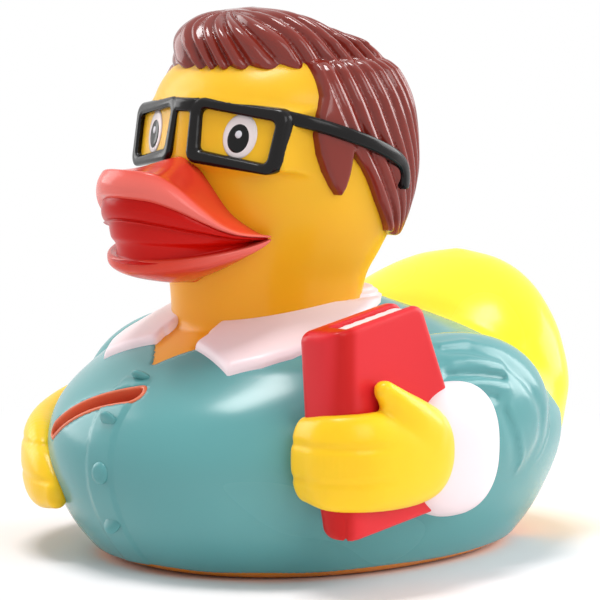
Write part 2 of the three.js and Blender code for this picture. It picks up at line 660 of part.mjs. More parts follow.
// Near hand: a mitten on the cover, wrapped over the spine, with the thumb on top
function bookHand() {
  const out = BOOK_COVER_X;
  const full = HAND_HALF_HEIGHT;
  const mitten = limb(
    [[out - 2.4, 4, 20.4], [out + 0.2, -3, 20.8], [out + 1.2, -10, 21], [out + 1.4, -16.5, 21.1],
      [out + 0.4, -22.6, 21.2], [out - 3, -25.6, 21.2], [out - 7.4, -25.4, 21.2]],
    [[0, full - 1.9], [0.17, full - 0.5], [0.34, full], [0.5, full], [0.66, full - 0.2], [0.83, full - 0.6],
      [1, full - 1.6]],
    { sides: 24, stations: 14, flat: 0.36, power: 0.8, groove: fingersFromHalfWay },
  );
  const thumb = limb(
    [[out - 0.4, -2, 23.4], [out + 1.2, -8, 27.2], [out + 1.3, -13, 29.8], [out + 1.0, -16.8, 31.4]],
    [[0, 3.4], [0.33, 3.0], [0.7, 2.4], [0.92, 1.6], [1, 0.8]],
    { sides: 12, stations: 7, flat: 0.85 },
  );
  return mitten.add(thumb);
}

// Far hand: laid along the breast beside the card slot
function breastHand() {
  const full = HAND_HALF_HEIGHT - 0.2;
  const mitten = limb(
    [[-33.2, 3, 19.6], [-34.8, -5, 19.1], [-34.4, -12.5, 18], [-32, -19.5, 16.9], [-28.2, -25.6, 15.9],
      [-23.8, -29.6, 15.3]],
    [[0, full - 1.9], [0.2, full - 0.6], [0.4, full], [0.6, full - 0.2], [0.8, full - 0.9], [1, full - 2.2]],
    { sides: 24, stations: 11, flat: 0.38, power: 0.8, groove: fingersFromHalfWay },
  );
  const thumb = limb(
    [[-32.8, -4, 21.8], [-32.8, -11, 23.6], [-30.8, -17, 24.4], [-28.2, -21.8, 23.8]],
    [[0, 3.2], [0.33, 2.9], [0.7, 2.4], [0.92, 1.6], [1, 0.8]],
    { sides: 12, stations: 7, flat: 0.85 },
  );
  return mitten.add(thumb);
}

// Outline with rounded corners, as points of its straight and curved stretches
function rounded(corners, radii) {
  const path = new THREE.Path();
  const count = corners.length;
  corners.forEach(([across, up], i) => {
    const corner = new THREE.Vector2(across, up);
    const next = (k) => new THREE.Vector2(...corners[k % count]);
    const towards = (k) => next(k).sub(corner).setLength(radii[i]).add(corner);
    const before = towards(i + count - 1);
    const after = towards(i + 1);
    if (i === 0) path.moveTo(before.x, before.y);
    else path.lineTo(before.x, before.y);
    path.quadraticCurveTo(across, up, after.x, after.y);
  });
  path.closePath();
  return path.getPoints(4).slice(0, -1).map((p) => [p.x, p.y]);
}

// Space between the boards along one edge of the cover, where the pages stand back
function pageGap(from, to, outwards) {
  const slope = (to[1] - from[1]) / (to[0] - from[0]);
  const edge = (y) => from[1] + slope * (y - from[0]) - outwards * PAGE_INSET;
  const start = from[0] + SPINE_WIDTH;
  const end = to[0] + SPINE_WIDTH;
  const past = outwards * BOOK_THICKNESS;
  return prismAlongX(
    [[start, edge(start)], [end, edge(end)], [end, edge(end) + past], [start, edge(start) + past]],
    BOOK_COVER_X - BOOK_THICKNESS + BOARD_THICKNESS,
    BOOK_COVER_X - BOARD_THICKNESS,
  );
}

// Book: two boards and a spine round a block of pages, held against the side
function book() {
  const [spineTop, edgeTop, edgeFoot, spineFoot] = BOOK_COVER;
  return prismAlongX(rounded(BOOK_COVER, BOOK_CORNERS), BOOK_COVER_X - BOOK_THICKNESS, BOOK_COVER_X)
    .subtract(pageGap(spineTop, edgeTop, 1))
    .subtract(pageGap(spineFoot, edgeFoot, -1))
    .subtract(prismAlongX(HINGE, BOOK_COVER_X - HINGE_DEPTH, BOOK_COVER_X + HINGE_DEPTH));
}

// Card slot: a curved slit that goes inwards and down, blind at its end
function slotBlade(grow) {
  const [nearX, nearZ] = SLOT_NEAR;
  const [farX, farZ] = SLOT_FAR;
  const rings = steps(0, 1, 9).map((share) => {
    const x = nearX + (farX - nearX) * share;
    const z = nearZ + (farZ - nearZ) * share + SLOT_ARCH * Math.sin(Math.PI * share);
    const turn = Math.asin(THREE.MathUtils.clamp(x / bodyPoint(Math.PI / 2, z).x, -1, 1));
    const mouth = bodyPoint(turn, z).add(new THREE.Vector3(0, -3, 2.4));
    const inward = new THREE.Vector3(0, 0.78, -0.62);
    const across = new THREE.Vector3(0, 0.62, 0.78);
    const half = (SLOT_WIDTH / 2) * (share < 0.05 || share > 0.95 ? 0.45 : 1) + grow;
    const depth = SLOT_DEPTH + 3.8 + grow;
    return [[-half, 0], [half, 0], [half, depth], [-half, depth]].map(([a, d]) => mouth.clone()
      .addScaledVector(across, a).addScaledVector(inward, d));
  });
  if (grow > 0) {
    rings[0].forEach((p) => { p.x += grow; });
    rings.at(-1).forEach((p) => { p.x -= grow; });
  }
  return solid(loft(rings));
}

// Disc or ring standing on the squeaker's axis
function turned(profile, sides = 28) {
  const geometry = new THREE.LatheGeometry(profile.map(([r, z]) => new THREE.Vector2(r, z)), sides);
  geometry.rotateX(Math.PI / 2);
  return solid(geometry.translate(0, SQUEAKER_Y, 0));
}

// Inside of the skin: body, tail and head, set in by the wall
function cavity() {
  const floor = BASE_WALL;
  const levels = [floor, 4.5, 11, 18, 24, 29, 33.5, SHOULDER_Z - 1];
  const shares = [0, 0.18, 0.3, 0.42, 0.56, 0.7, 0.81, 0.9, 0.96, 1];
  const inside = [
    body(-WALL - 0.3, 26, levels),
    tail(-WALL - 0.3, 18, TAIL_TIP_Z - WALL),
    head(-WALL - 0.4, 22, shares),
  ];
  const past = 1.5 * RUMP_Y;
  const room = prismUp([[-past, -past], [past, -past], [past, past], [-past, past]], floor, 1.2 * CROWN_Z);
  return join(inside).intersect(room).subtract(slotBlade(WALL - 0.2));
}

function squeakerSeat() {
  const hole = SQUEAKER_RADIUS + CLEARANCE;
  const recess = FLANGE_RADIUS + CLEARANCE;
  const depth = FLANGE_THICKNESS + 2 * CLEARANCE;
  const top = BASE_WALL + 1;
  return turned([[0, -1], [recess, -1], [recess, depth], [hole, depth], [hole, top], [0, top]]);
}

function duckSkin() {
  const outside = join([
    body(0, BODY_SIDES, BODY_LEVELS),
    tail(0, 26, TAIL_TIP_Z),
    head(0, HEAD_SIDES, HEAD_SHARES),
    sideHair(),
    topHair(),
    crownHair(),
    eyePads(),
    rim(1),
    rim(-1),
    bridge(),
    temple(1),
    temple(-1),
    upperBill(),
    lowerBill(),
    mouthWall(),
    placket(),
    ...BUTTON_HEIGHTS.map(button),
    sleeve(1),
    sleeve(-1),
    cuff(1),
    cuff(-1),
    book(),
    bookHand(),
    breastHand(),
  ]);
  return filled(outside
    .subtract(neckline())
    .add(collar())
    .add(head(0, HEAD_SIDES, HEAD_SHARES))
    .subtract(slotBlade(0))
    .subtract(cavity())
    .subtract(squeakerSeat()));
}

// Squeaker: a flanged plug with a barb that snaps behind the base wall
function squeaker() {
  const flangeFoot = CLEARANCE;
  const flangeTop = flangeFoot + FLANGE_THICKNESS;
  const barbFoot = BASE_WALL + CLEARANCE;
  const r = SQUEAKER_RADIUS;
  const inner = r - PLUG_WALL;
  return turned([
    [AIR_HOLE_RADIUS, flangeFoot], [FLANGE_RADIUS, flangeFoot], [FLANGE_RADIUS, flangeTop], [r, flangeTop],
    [r, barbFoot], [r + CLEARANCE + BARB_HEIGHT, barbFoot], [r, barbFoot + BARB_LENGTH], [r, SQUEAKER_LENGTH],
    [inner, SQUEAKER_LENGTH], [inner, flangeTop + 0.6], [AIR_HOLE_RADIUS, flangeTop + 0.6],
    [AIR_HOLE_RADIUS, flangeFoot],
  ]);
}

const vinyl = new THREE.MeshStandardMaterial({ name: 'painted_vinyl', color: 0xffd92f, roughness: 0.28 });
const plug = new THREE.MeshStandardMaterial({ name: 'squeaker_plastic', color: 0xf3f1ea, roughness: 0.4 });

const duck = new THREE.Group();
duck.add(meshOf('duck_skin', duckSkin(), vinyl));
duck.add(meshOf('squeaker', squeaker(), plug));

export default duck;
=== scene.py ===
"""Rubber duck in a shirt and glasses, with a book under its wing.

The sprayed zones of the vinyl skin are separate closed pieces, built from level egg shapes in millimetres.
"""

import math

import bpy
import numpy as np
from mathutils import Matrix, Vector


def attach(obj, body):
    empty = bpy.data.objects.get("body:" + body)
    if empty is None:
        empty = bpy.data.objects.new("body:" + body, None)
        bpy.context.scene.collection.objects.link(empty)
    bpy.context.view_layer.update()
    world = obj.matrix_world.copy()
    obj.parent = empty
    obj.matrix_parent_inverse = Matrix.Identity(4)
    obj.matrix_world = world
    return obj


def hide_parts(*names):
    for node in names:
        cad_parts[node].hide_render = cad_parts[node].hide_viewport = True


bl_info = {
    "name": "Rubber Duck",
    "version": (1, 0, 0),
    "blender": (4, 5, 0),
    "location": "3D View > Sidebar > Duck",
    "description": "Builds the painted pieces of a vinyl bath duck round its CAD part",
    "category": "Object",
}

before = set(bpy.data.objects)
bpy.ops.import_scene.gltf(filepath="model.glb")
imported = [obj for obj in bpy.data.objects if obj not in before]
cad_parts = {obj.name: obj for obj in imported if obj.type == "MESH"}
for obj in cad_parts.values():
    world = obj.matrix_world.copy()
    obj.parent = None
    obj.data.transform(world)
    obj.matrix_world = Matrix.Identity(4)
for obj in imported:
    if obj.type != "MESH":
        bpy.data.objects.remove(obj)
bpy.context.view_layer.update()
MM = 0.001

# Body, in millimetres
BODY_MIDDLE_Y = 3.0
SHOULDER_Z = 40.0
BODY_POWER = 0.91
CHEST_Y = -38.7
RUMP_Y = 47.6
BODY_HALF_WIDTH = 34.0

# Tail
TAIL_TIP_Z = 44.3
TAIL_FOOT_Z = 12.0
TAIL_LENGTH = 28.5
TAIL_HALF_WIDTH = 25.5

# Head
HEAD_HALF_WIDTH = 19.2
HEAD_FRONT_Y = -21.8
HEAD_BACK_Y = 16.6
HEAD_MIDDLE_Y = -2.0
NECK_FOOT_Z = 30.0
CROWN_Z = 81.0
HEAD_POWER = 0.92

# Hair
LEDGE_Z = 76.4
FOREHEAD_Z = 75.0
QUIFF_TOP_Z = 84.2
QUIFF_FRONT_Y = -19.0
QUIFF_HALF_WIDTH = 15.4
WHORL = (-1.0, -12.0)
RIDGE_BACK = (0.0, 6.0)
LOCK_WIDTH = 3.1
LOCK_TURN_RADIUS = 7.0
FIRST_LOCK_TURN = 1.15
HAIRLINE = [(-9.0, 88), (-9.9, 75), (-10.5, 71), (-11.6, 68.5), (-12.2, 65.4), (-11.8, 62.6), (-10.9, 60),
            (-9.7, 57.8), (-8.5, 56.2), (-7.7, 57.6), (-7.1, 59.6), (-6.5, 62.9), (-5.3, 61.6), (-4.1, 60.2),
            (-2.9, 58.5), (-0.8, 55.1), (1.4, 52.4), (3.2, 50.4), (6, 49.4), (14, 48.5), (30, 48.5), (30, 88)]

# Glasses
GLASSES_Z = 64.3
GLASSES_HALF_WIDTH = 16.7
GLASSES_HALF_HEIGHT = 4.9
RIM_SLOPE = 1.9
BRIDGE_HALF_WIDTH = 1.3
BRIDGE_Y = -23.7
TEMPLE_PATH = [(14.8, -15.9, 68.2), (18.0, -12.7, 67.1), (20.1, -8.4, 65.6), (20.9, -4.0, 64.1),
               (20.9, 0.2, 62.4), (20.2, 3.1, 60.9), (19.8, 4.3, 59.2), (19.5, 4.6, 56.8)]
TEMPLE_HALF_HEIGHT = 1.05
TEMPLE_PROUD = 1.0

# Eyes
EYE_CENTRE = (9.4, 65.2)
EYE_LAYERS = [("eye_whites", (0, 0), 2.55, 3.3, 0.22), ("pupils", (-0.1, -0.3), 1.75, 2.3, 0.32),
              ("eye_glints", (-0.05, 0.3), 0.6, 0.66, 0.42)]
EYE_DOME = [(0.25, 1), (0.5, 0.97), (0.75, 0.88), (0.92, 0.66), (1, 0.2), (1, -1.6), (0.5, -1.8)]

# Bill
BILL_HALF_WIDTH = 14.0
BILL_ROOT_Y = -19.6
BILL_TIP_Y = -36.1
BILL_CORNER_Z = 50.2
BILL_RIM_Z = 60.6
MOUTH_TOP_Z = 53.2
MOUTH_BOTTOM_Z = 47.2
CHIN_Z = 43.3
# Painted highlight on the brim of the bill: where the paler pink fades in, as a share of the reach from the
# root
BRIM_SHEEN_FADE = (0.88, 1.06)

# Shirt
COLLAR_WINGS = [(3.7, -24.2), (8.6, -25.2), (13.9, -26.4), (17.0, -22.4), (18.9, -18), (19.6, -13),
                (18.9, -6), (17.2, 0), (14.8, 4.8), (11, 9), (6, 12.2), (0.01, 13.2)]
NECKLINE = [(4.9, -16), (4.9, -23.6), (2.7, -25.6), (0.01, -28.4)]
PLACKET_HALF_WIDTH = 2.8
PLACKET_SHIFT = -0.5
SLEEVE_CENTRE = (27.6, 4.75, 22.9)
SLEEVE_HALF = (8.6, 21.8, 12.2)
# Folds of a sleeve: path, width and depth, which is negative for a ridge
FOLDS = [
    ([(31, 0.7, 34.2), (31, 6.5, 34.2), (31.9, 12.9, 31.9), (32.3, 18.5, 28.5), (31.2, 24.4, 23.8),
      (30.8, 26, 18.8), (31.2, 23.6, 15.1), (32.2, 17.1, 11.2), (32.9, 12, 10.5)], 0.5, -0.55),
    ([(31.8, 1, 32.9), (32.2, 6.2, 32.6), (33, 11.9, 30.4), (33.6, 16.4, 27), (33.4, 20.4, 22.6),
      (33, 21.6, 18.4), (33, 19.4, 14.6)], 1.3, 0.45),
    ([(35.5, 11, 24.1), (34.8, 14, 19.9), (33.6, 16.4, 16.1), (32.9, 16, 12.2)], 0.5, -0.5),
    ([(36, 9.6, 24), (35.8, 12.4, 19.6), (34.6, 14.4, 15.6)], 1.1, 0.4),
    ([(32.6, 0.8, 32), (33.3, 4.3, 31.9), (33.8, 7.4, 31.2), (33.8, 10.8, 30.3)], 1.0, -0.6),
    ([(34.3, -1, 30.2), (34.6, 2.8, 30), (34.7, 6.4, 29.6), (34.6, 11, 28.8)], 0.55, 0.75),
    ([(35, -0.4, 28.9), (35.2, 3.2, 28.6), (35.3, 6.8, 28.2), (35.3, 10.6, 27.2)], 0.9, -0.55),
    ([(35.4, 0, 27.4), (35.8, 4.4, 26.9), (35.8, 8, 26.2)], 0.6, 0.45),
]

# Card slot and buttons
SLOT_ENDS = ((2.5, 27.2), (-16.2, 19.6))
SLOT_ARCH = 1.3
SLOT_DEPTH = 3.2
SLOT_LIP = 0.65
SLOT_LEAN = (0.78, 0.62)
BUTTON_HEIGHTS = (8.1, 15.9, 23.6, 29.5)

# Seat of the squeaker
SQUEAKER_Y = 15.0
SEAT_FLANGE = (7.7, 1.5)
SEAT_BORE = (6.9, 9.6)

# Cuffs and hands, the hands by stations of x, y, z, half height and half depth
CUFF_CENTRE = (35.2, -1.6, 19.4)
CUFF_HALF = (4.5, 9.4, 10.0)
BREAST_HAND = [(33.2, 3, 19, 6, 2.6), (35.2, -5, 17.8, 7, 3), (35.2, -12.5, 16.6, 7.4, 3.4),
               (32.8, -19.5, 15.4, 7.4, 3.5), (28.9, -25.8, 14.6, 7, 3.4), (24.4, -30.2, 13.8, 6.4, 3.1),
               (19.6, -33.4, 12.4, 4.8, 2.6), (15.2, -35, 10.8, 2.6, 1.8)]
BOOK_HAND = [(37.2, -5.2, 19.9, 4.4, 2.2), (37.9, -8.2, 19.9, 6.4, 2.7), (38.3, -12, 19.9, 7.2, 2.9),
             (38.4, -17, 19.8, 7.3, 2.9), (37.6, -22.4, 19.8, 7.1, 2.8), (34.4, -25.6, 19.8, 6.9, 2.7),
             (29.6, -25.4, 19.8, 6.2, 2.4)]
THUMB = [(38.1, -10, 23.3, 3.2, 2.6), (38.8, -13, 25.6, 2.7, 2.4), (38.9, -16.3, 27.9, 2.1, 2),
         (38.6, -18.8, 30, 1.4, 1.5)]

# Book, by its outline in Y and Z
COVER_OUTLINE = [(-27.2, 38.4), (-9.2, 41.6), (3.4, 12.2), (-25, 8)]
BOOK_COVER_X = 37.0
BOOK_THICKNESS = 8.5
PAGES_X = 33.9
PAGES_HALF = 1.7
# Painted shade on the book: the band in Y where the deeper red fades in and out
SPINE_SHADE_BAND = [(-26.6, -25.2), (-22.2, -23.8)]

# Room of each net, from its low to its high corner, and its cell
NETS = {
    "body_skin": ((-35.5, -40.5, -1), (35.5, 49, 45.5), 0.7),
    "shirt": ((-38, -41, 0), (38, 36.5, 41), 0.55),
    "collar": ((-23.5, -29.5, 25), (23.5, 21.5, 42.5), 0.35),
    "slot_lining": ((-18.5, -39.5, 13), (4.5, -25, 31), 0.2),
    "head_skin": ((-21, -31, 27), (21, 18.5, 82), 0.45),
    "hair": ((-22.5, -20.5, 46), (22.5, 20, 85), 0.27),
    "glasses": ((-18, -25.5, 57.5), (18, -13, 72.5), 0.24),
    "book_hand": ((26, -31.5, 10), (43, 11, 34.5), 0.35),
    "breast_hand": ((-41.5, -40, 4), (-10, 10, 29), 0.35),
    "book_cuff": ((25, -12, 7), (45, 14, 32), 0.4),
    "breast_cuff": ((-45, -12, 7), (-25, 14, 32), 0.4),
    "book_cover": ((27.5, -29, 6.5), (38, 5, 43), 0.3),
    "book_pages": ((27.5, -29, 6.5), (38, 5, 43), 0.4),
}

# Stage, in metres
CAMERA_PLACE = (0.3463, -0.3360, 0.0905)
CAMERA_AIM = (0, 0.002, 0.0385)
CAMERA_DEGREES = 10.98
FLOOR_HALF = 1.6
FLOOR_COLOUR = (0.86, 0.83, 0.835, 1)
FLOOR_FADE = (0.04, 0.16)
SKY_COLOUR = (0.97, 0.98, 1, 1)
SKY_STRENGTH = 0.46
LAMP_AIM = (0, 0, 0.04)
LAMPS = [("left", (-0.72, -0.24, 0.36), (0.5, 0.6), 2.8), ("right", (0.66, -0.1, 0.4), (0.4, 0.4), 1.6),
         ("back", (0.36, 0.74, 0.32), (0.6, 0.5), 5.0), ("top", (-0.03, -0.12, 0.92), (0.22, 0.36), 4.8)]


def curve_through(pairs):
    """Smooth curve through pairs of a place and a value, as a function of an array."""
    x, y = np.array(pairs, float).T
    slope = np.gradient(y, x)
    slope[1:-1] = (y[2:] - y[:-2]) / (x[2:] - x[:-2])
    fine = np.linspace(x[0], x[-1], 801)
    i = np.clip(np.searchsorted(x, fine, side="right") - 1, 0, len(x) - 2)
    span = x[i + 1] - x[i]
    t = (fine - x[i]) / span
    rise = t * t * (3 - 2 * t)
    value = y[i] * (1 - rise) + y[i + 1] * rise
    value += span * (slope[i] * t * (1 - t) ** 2 - slope[i + 1] * t * t * (1 - t))
    return lambda place: np.interp(place, fine, value)


def curves_over(levels, *rows):
    """Smooth curves over the same levels, one for each row of values."""
    return [curve_through(list(zip(levels, row))) for row in rows]


body_front = curve_through([(0, 0.75), (0.04, 0.82), (0.2, 0.94), (0.4, 1.0), (0.6, 0.95), (0.76, 0.77),
                            (0.88, 0.57), (1, 0.36)])
body_back = curve_through([(0, 0.72), (0.04, 0.79), (0.2, 0.91), (0.45, 1.0), (0.6, 0.93), (0.76, 0.74),
                           (0.88, 0.47), (1, 0.14)])
body_side = curve_through([(0, 0.75), (0.04, 0.82), (0.2, 0.925), (0.42, 1.0), (0.6, 0.965), (0.76, 0.83),
                           (0.88, 0.62), (1, 0.37)])
tail_side, tail_length, tail_end = curves_over(
    (0, 0.15, 0.35, 0.6, 0.76, 0.88, 0.96, 1),
    (0.7, 0.88, 1, 0.92, 0.76, 0.55, 0.31, 0.04),
    (0.8, 0.92, 1, 0.93, 0.76, 0.53, 0.28, 0.04),
    (6, 1.6, 0.5, 0.9, 1.7, 3.0, 5.4, 8.8))
head_side = curve_through([(0, 0.78), (0.18, 0.76), (0.26, 0.78), (0.34, 0.86), (0.44, 0.95), (0.56, 1),
                           (0.7, 1), (0.8, 0.96), (0.88, 0.83), (0.95, 0.58), (1, 0.06)])
head_front = curve_through([(0, 0.9), (0.18, 0.92), (0.26, 0.94), (0.4, 0.98), (0.56, 1), (0.7, 1),
                            (0.8, 0.965), (0.88, 0.83), (0.95, 0.56), (1, 0.05)])
head_back = curve_through([(0, 0.54), (0.18, 0.5), (0.26, 0.54), (0.34, 0.7), (0.44, 0.88), (0.56, 1),
                           (0.68, 1), (0.79, 0.93), (0.88, 0.78), (0.95, 0.55), (1, 0.06)])
quiff_front, quiff_back, quiff_half = curves_over(
    (0, 0.12, 0.35, 0.6, 0.8, 0.93, 1),
    (0.86, 0.98, 1, 0.98, 0.88, 0.68, 0.42),
    (0.95, 0.9, 0.72, 0.45, 0.18, -0.08, -0.3),
    (0.94, 1, 0.96, 0.85, 0.66, 0.43, 0.05))
hem_y = curve_through([(0, 30), (8, 31.5), (17, 33), (23.2, 34.1), (26.2, 33.4), (28.8, 31.9), (31, 31.2),
                       (32.9, 29.6), (34.5, 28.2), (36, 26.5), (37.3, 24.3), (42, 20)])
rim_rise = curve_through([(0, 1), (15, 0.99), (25, 0.95), (34, 0.83), (42, 0.68), (54, 0.4), (63, 0.2),
                          (73, 0.07), (90, 0)])


def union(a, b, k):
    """Lower of two fields, faired over a width of k."""
    h = np.clip(0.5 + 0.5 * (b - a) / k, 0, 1)
    return b * (1 - h) + a * h - k * h * (1 - h)


def common(a, b, k):
    """Higher of two fields, with its edge rounded over a width of k."""
    return -union(-a, -b, k)


def smooth_step(low, high, x):
    t = np.clip((x - low) / (high - low), 0, 1)
    return t * t * (3 - 2 * t)


def egg(p, front, back, half, middle, power):
    """Level distance from an egg-shaped ring with its own reach to front, back and side."""
    e = 2 / power
    dy = p[:, 1] - middle
    reach = np.where(dy < 0, middle - front, back - middle)
    share = ((np.abs(p[:, 0]) / half) ** e + (np.abs(dy) / reach) ** e) ** (1 / e)
    r = np.hypot(p[:, 0], dy)
    return r - r / np.maximum(share, 1e-6)


def even(field):
    """The field scaled to true distances near its surface."""
    near_reach = 7.0
    step = 0.12

    def scaled(p):
        value = field(p)
        near = np.abs(value) < near_reach
        q = p[near]
        slopes = [(field(q + step * np.eye(3)[i]) - value[near]) / step for i in range(3)]
        value[near] /= np.clip(np.sqrt(sum(s * s for s in slopes)), 0.4, 8)
        return value

    return scaled


def breast_y(level):
    """Foremost place of the body at a level, given as a share of its height."""
    return BODY_MIDDLE_Y + (CHEST_Y - BODY_MIDDLE_Y) * body_front(level)


def body_field(p):
    level = np.clip(p[:, 2] / SHOULDER_Z, 0, 1)
    side = egg(p, breast_y(level), BODY_MIDDLE_Y + (RUMP_Y - BODY_MIDDLE_Y) * body_back(level),
               BODY_HALF_WIDTH * body_side(level), BODY_MIDDLE_Y, BODY_POWER)
    return common(side, p[:, 2] - SHOULDER_Z, 1.0)


def tail_field(p):
    share = np.clip((p[:, 2] - TAIL_FOOT_Z) / (TAIL_TIP_Z - TAIL_FOOT_Z), 0, 1)
    back = RUMP_Y - tail_end(share)
    length = TAIL_LENGTH * tail_length(share)
    side = egg(p, back - length, back, TAIL_HALF_WIDTH * tail_side(share), back - length / 2, 0.95)
    return common(side, np.maximum(p[:, 2] - TAIL_TIP_Z, TAIL_FOOT_Z - p[:, 2]), 0.6)


def head_field(p):
    level = np.clip((p[:, 2] - NECK_FOOT_Z) / (CROWN_Z - NECK_FOOT_Z), 0, 1)
    side = egg(p, HEAD_MIDDLE_Y + (HEAD_FRONT_Y - HEAD_MIDDLE_Y) * head_front(level),
               HEAD_MIDDLE_Y + (HEAD_BACK_Y - HEAD_MIDDLE_Y) * head_back(level),
               HEAD_HALF_WIDTH * head_side(level), HEAD_MIDDLE_Y, HEAD_POWER)
    return common(side, np.maximum(p[:, 2] - CROWN_Z, NECK_FOOT_Z - p[:, 2]), 0.6)


def quiff_field(p):
    foot = FOREHEAD_Z - 1.2
    share = np.clip((p[:, 2] - foot) / (QUIFF_TOP_Z - foot), 0, 1)
    front = HEAD_MIDDLE_Y + (QUIFF_FRONT_Y - HEAD_MIDDLE_Y) * quiff_front(share)
    back = HEAD_MIDDLE_Y + (HEAD_BACK_Y - HEAD_MIDDLE_Y) * 0.86 * quiff_back(share)
    side = egg(p, front, back, QUIFF_HALF_WIDTH * quiff_half(share), (front + back) / 2, 0.95)
    return common(side, np.maximum(p[:, 2] - QUIFF_TOP_Z, foot - p[:, 2]), 1.4)


true_body = even(body_field)
true_tail = even(tail_field)
true_head = even(head_field)
true_quiff = even(quiff_field)


def outline_field(x, y, outline):
    """Distance from a closed outline in a plane, negative inside it."""
    points = np.array(outline, float)
    nearest = np.full(x.shape, 1e9)
    inside = np.zeros(x.shape, bool)
    for (ax, ay), (bx, by) in zip(points, np.roll(points, -1, axis=0)):
        dx, dy = bx - ax, by - ay
        t = np.clip(((x - ax) * dx + (y - ay) * dy) / (dx * dx + dy * dy), 0, 1)
        nearest = np.minimum(nearest, np.hypot(x - ax - t * dx, y - ay - t * dy))
        if dy:
            crosses = ((ay > y) != (by > y)) & (x < ax + dx * (y - ay) / dy)
            inside ^= crosses
    return np.where(inside, -nearest, nearest)


def path_distance(p, path):
    """Distance from an open path of straight runs."""
    nearest = np.full(len(p), 1e9)
    for a, b in zip(np.array(path[:-1], float), np.array(path[1:], float)):
        along = b - a
        t = np.clip((p - a) @ along / (along @ along), 0, 1)
        nearest = np.minimum(nearest, np.linalg.norm(p - a - t[:, None] * along, axis=1))
    return nearest


def spline(points, count):
    """Evenly numbered points of a smooth open curve through the given ones."""
    points = np.array(points, float)
    knots = np.arange(len(points))
    fine = np.linspace(0, len(points) - 1, count)
    return np.stack([curve_through(list(zip(knots, column)))(fine) for column in points.T], 1)


def limb_field(p, stations):
    """Distance from a limb through stations of x, y, z, half height and half depth."""
    nearest = np.full(len(p), 1e9)
    fine = spline(stations, 45)
    power = 2.3
    for a, b in zip(fine[:-1], fine[1:]):
        along = b[:3] - a[:3]
        t = np.clip((p - a[:3]) @ along / (along @ along), 0, 1)
        off = p - a[:3] - t[:, None] * along
        size, deep = a[3:, None] + (b - a)[3:, None] * t
        aside = np.hypot(off[:, 0], off[:, 1]) / deep
        share = (aside ** power + np.abs(off[:, 2] / size) ** power) ** (1 / power)
        nearest = np.minimum(nearest, (share - 1) * deep)
    return nearest


def skin_net(field, low, high, cell):
    """Closed quad net on the zero surface of a field, with its points drawn onto the surface."""
    axes = [np.arange(a, b + cell, cell) for a, b in zip(low, high)]
    grid = np.stack(np.meshgrid(*axes, indexing="ij"), -1)
    shape = grid.shape[:3]
    value = field(grid.reshape(-1, 3)).reshape(shape)
    inside = value < 0
    corners = [(i, j, k) for i in (0, 1) for j in (0, 1) for k in (0, 1)]
    cells = tuple(n - 1 for n in shape)

    def at(array, corner):
        return array[tuple(slice(c, c + n) for c, n in zip(corner, cells))]

    count = sum(at(inside, c).astype(np.int8) for c in corners)
    active = (count > 0) & (count < 8)
    number = np.full(cells, -1)
    number[active] = np.arange(active.sum())
    place = np.zeros((active.sum(), 3))
    crossings = np.zeros(active.sum())
    for a in corners:
        for axis in range(3):
            if a[axis]:
                continue
            b = tuple(c + (i == axis) for i, c in enumerate(a))
            va, vb = at(value, a)[active], at(value, b)[active]
            hit = (va < 0) != (vb < 0)
            t = np.where(hit, va / np.where(hit, va - vb, 1), 0)
            spot = np.array(a, float) + t[:, None] * np.eye(3)[axis]
            place += np.where(hit[:, None], spot, 0)
            crossings += hit
    points = (np.argwhere(active) + place / crossings[:, None]) * cell + np.array(low, float)
    quads = []
    for axis in range(3):
        u, v = (axis + 1) % 3, (axis + 2) % 3
        start = [slice(None)] * 3
        end = [slice(None)] * 3
        start[axis], end[axis] = slice(0, -1), slice(1, None)
        a, b = inside[tuple(start)], inside[tuple(end)]
        hits = np.argwhere(a != b)
        keep = np.all(hits[:, [u, v]] > 0, axis=1) & (hits[:, u] < cells[u]) & (hits[:, v] < cells[v])
        hits = hits[keep]
        leaving = a[tuple(hits.T)]
        steps = [(-1, -1), (0, -1), (0, 0), (-1, 0)]
        ring = []
        for du, dv in steps:
            c = hits.copy()
            c[:, u] += du
            c[:, v] += dv
            ring.append(number[tuple(c.T)])
        ring = np.stack(ring, 1)
        ring[~leaving] = ring[~leaving][:, ::-1]
        quads.append(ring)
    faces = np.concatenate(quads)
    step = 0.04
    for _ in range(3):
        here = field(points)
        slope = np.stack([(field(points + step * np.eye(3)[i]) - here) / step for i in range(3)], 1)
        size = np.maximum((slope * slope).sum(1), 0.3)
        move = -slope * (here / size)[:, None]
        reach = np.linalg.norm(move, axis=1)
        points += move * np.minimum(1, 0.5 * cell / np.maximum(reach, 1e-9))[:, None]
    return points, faces


def loft(rings):
    """Closed net through rings with the same number of points, with a fan over each end."""
    rings = np.asarray(rings, float)
    rows, sides = rings.shape[:2]
    points = np.concatenate([rings.reshape(-1, 3), rings[0].mean(0)[None], rings[-1].mean(0)[None]])
    i = np.arange(sides)
    after = (i + 1) % sides
    faces = []
    for row in range(rows - 1):
        a, b = row * sides + i, row * sides + after
        faces += np.stack([a, b, b + sides, a + sides], 1).tolist()
    top = (rows - 1) * sides
    foot_pole, top_pole = rows * sides, rows * sides + 1
    faces += np.stack([after, i, np.full(sides, foot_pole)], 1).tolist()
    faces += np.stack([top + i, top + after, np.full(sides, top_pole)], 1).tolist()
    return outward(points, faces)


def merged(nets):
    """Several nets as one."""
    points, faces, shift = [], [], 0
    for net_points, net_faces in nets:
        points.append(net_points)
        faces += [[corner + shift for corner in face] for face in np.asarray(net_faces, object).tolist()]
        shift += len(net_points)
    return np.concatenate(points), faces


def outward(points, faces):
    """The net with its faces turned outwards, by the sign of the enclosed volume."""
    volume = 0
    for face in faces:
        a, b, c = (points[face[i]] for i in (0, 1, 2))
        volume += a @ np.cross(b, c)
        if len(face) > 3:
            volume += a @ np.cross(c, points[face[3]])
    return points, faces if volume > 0 else [face[::-1] for face in faces]


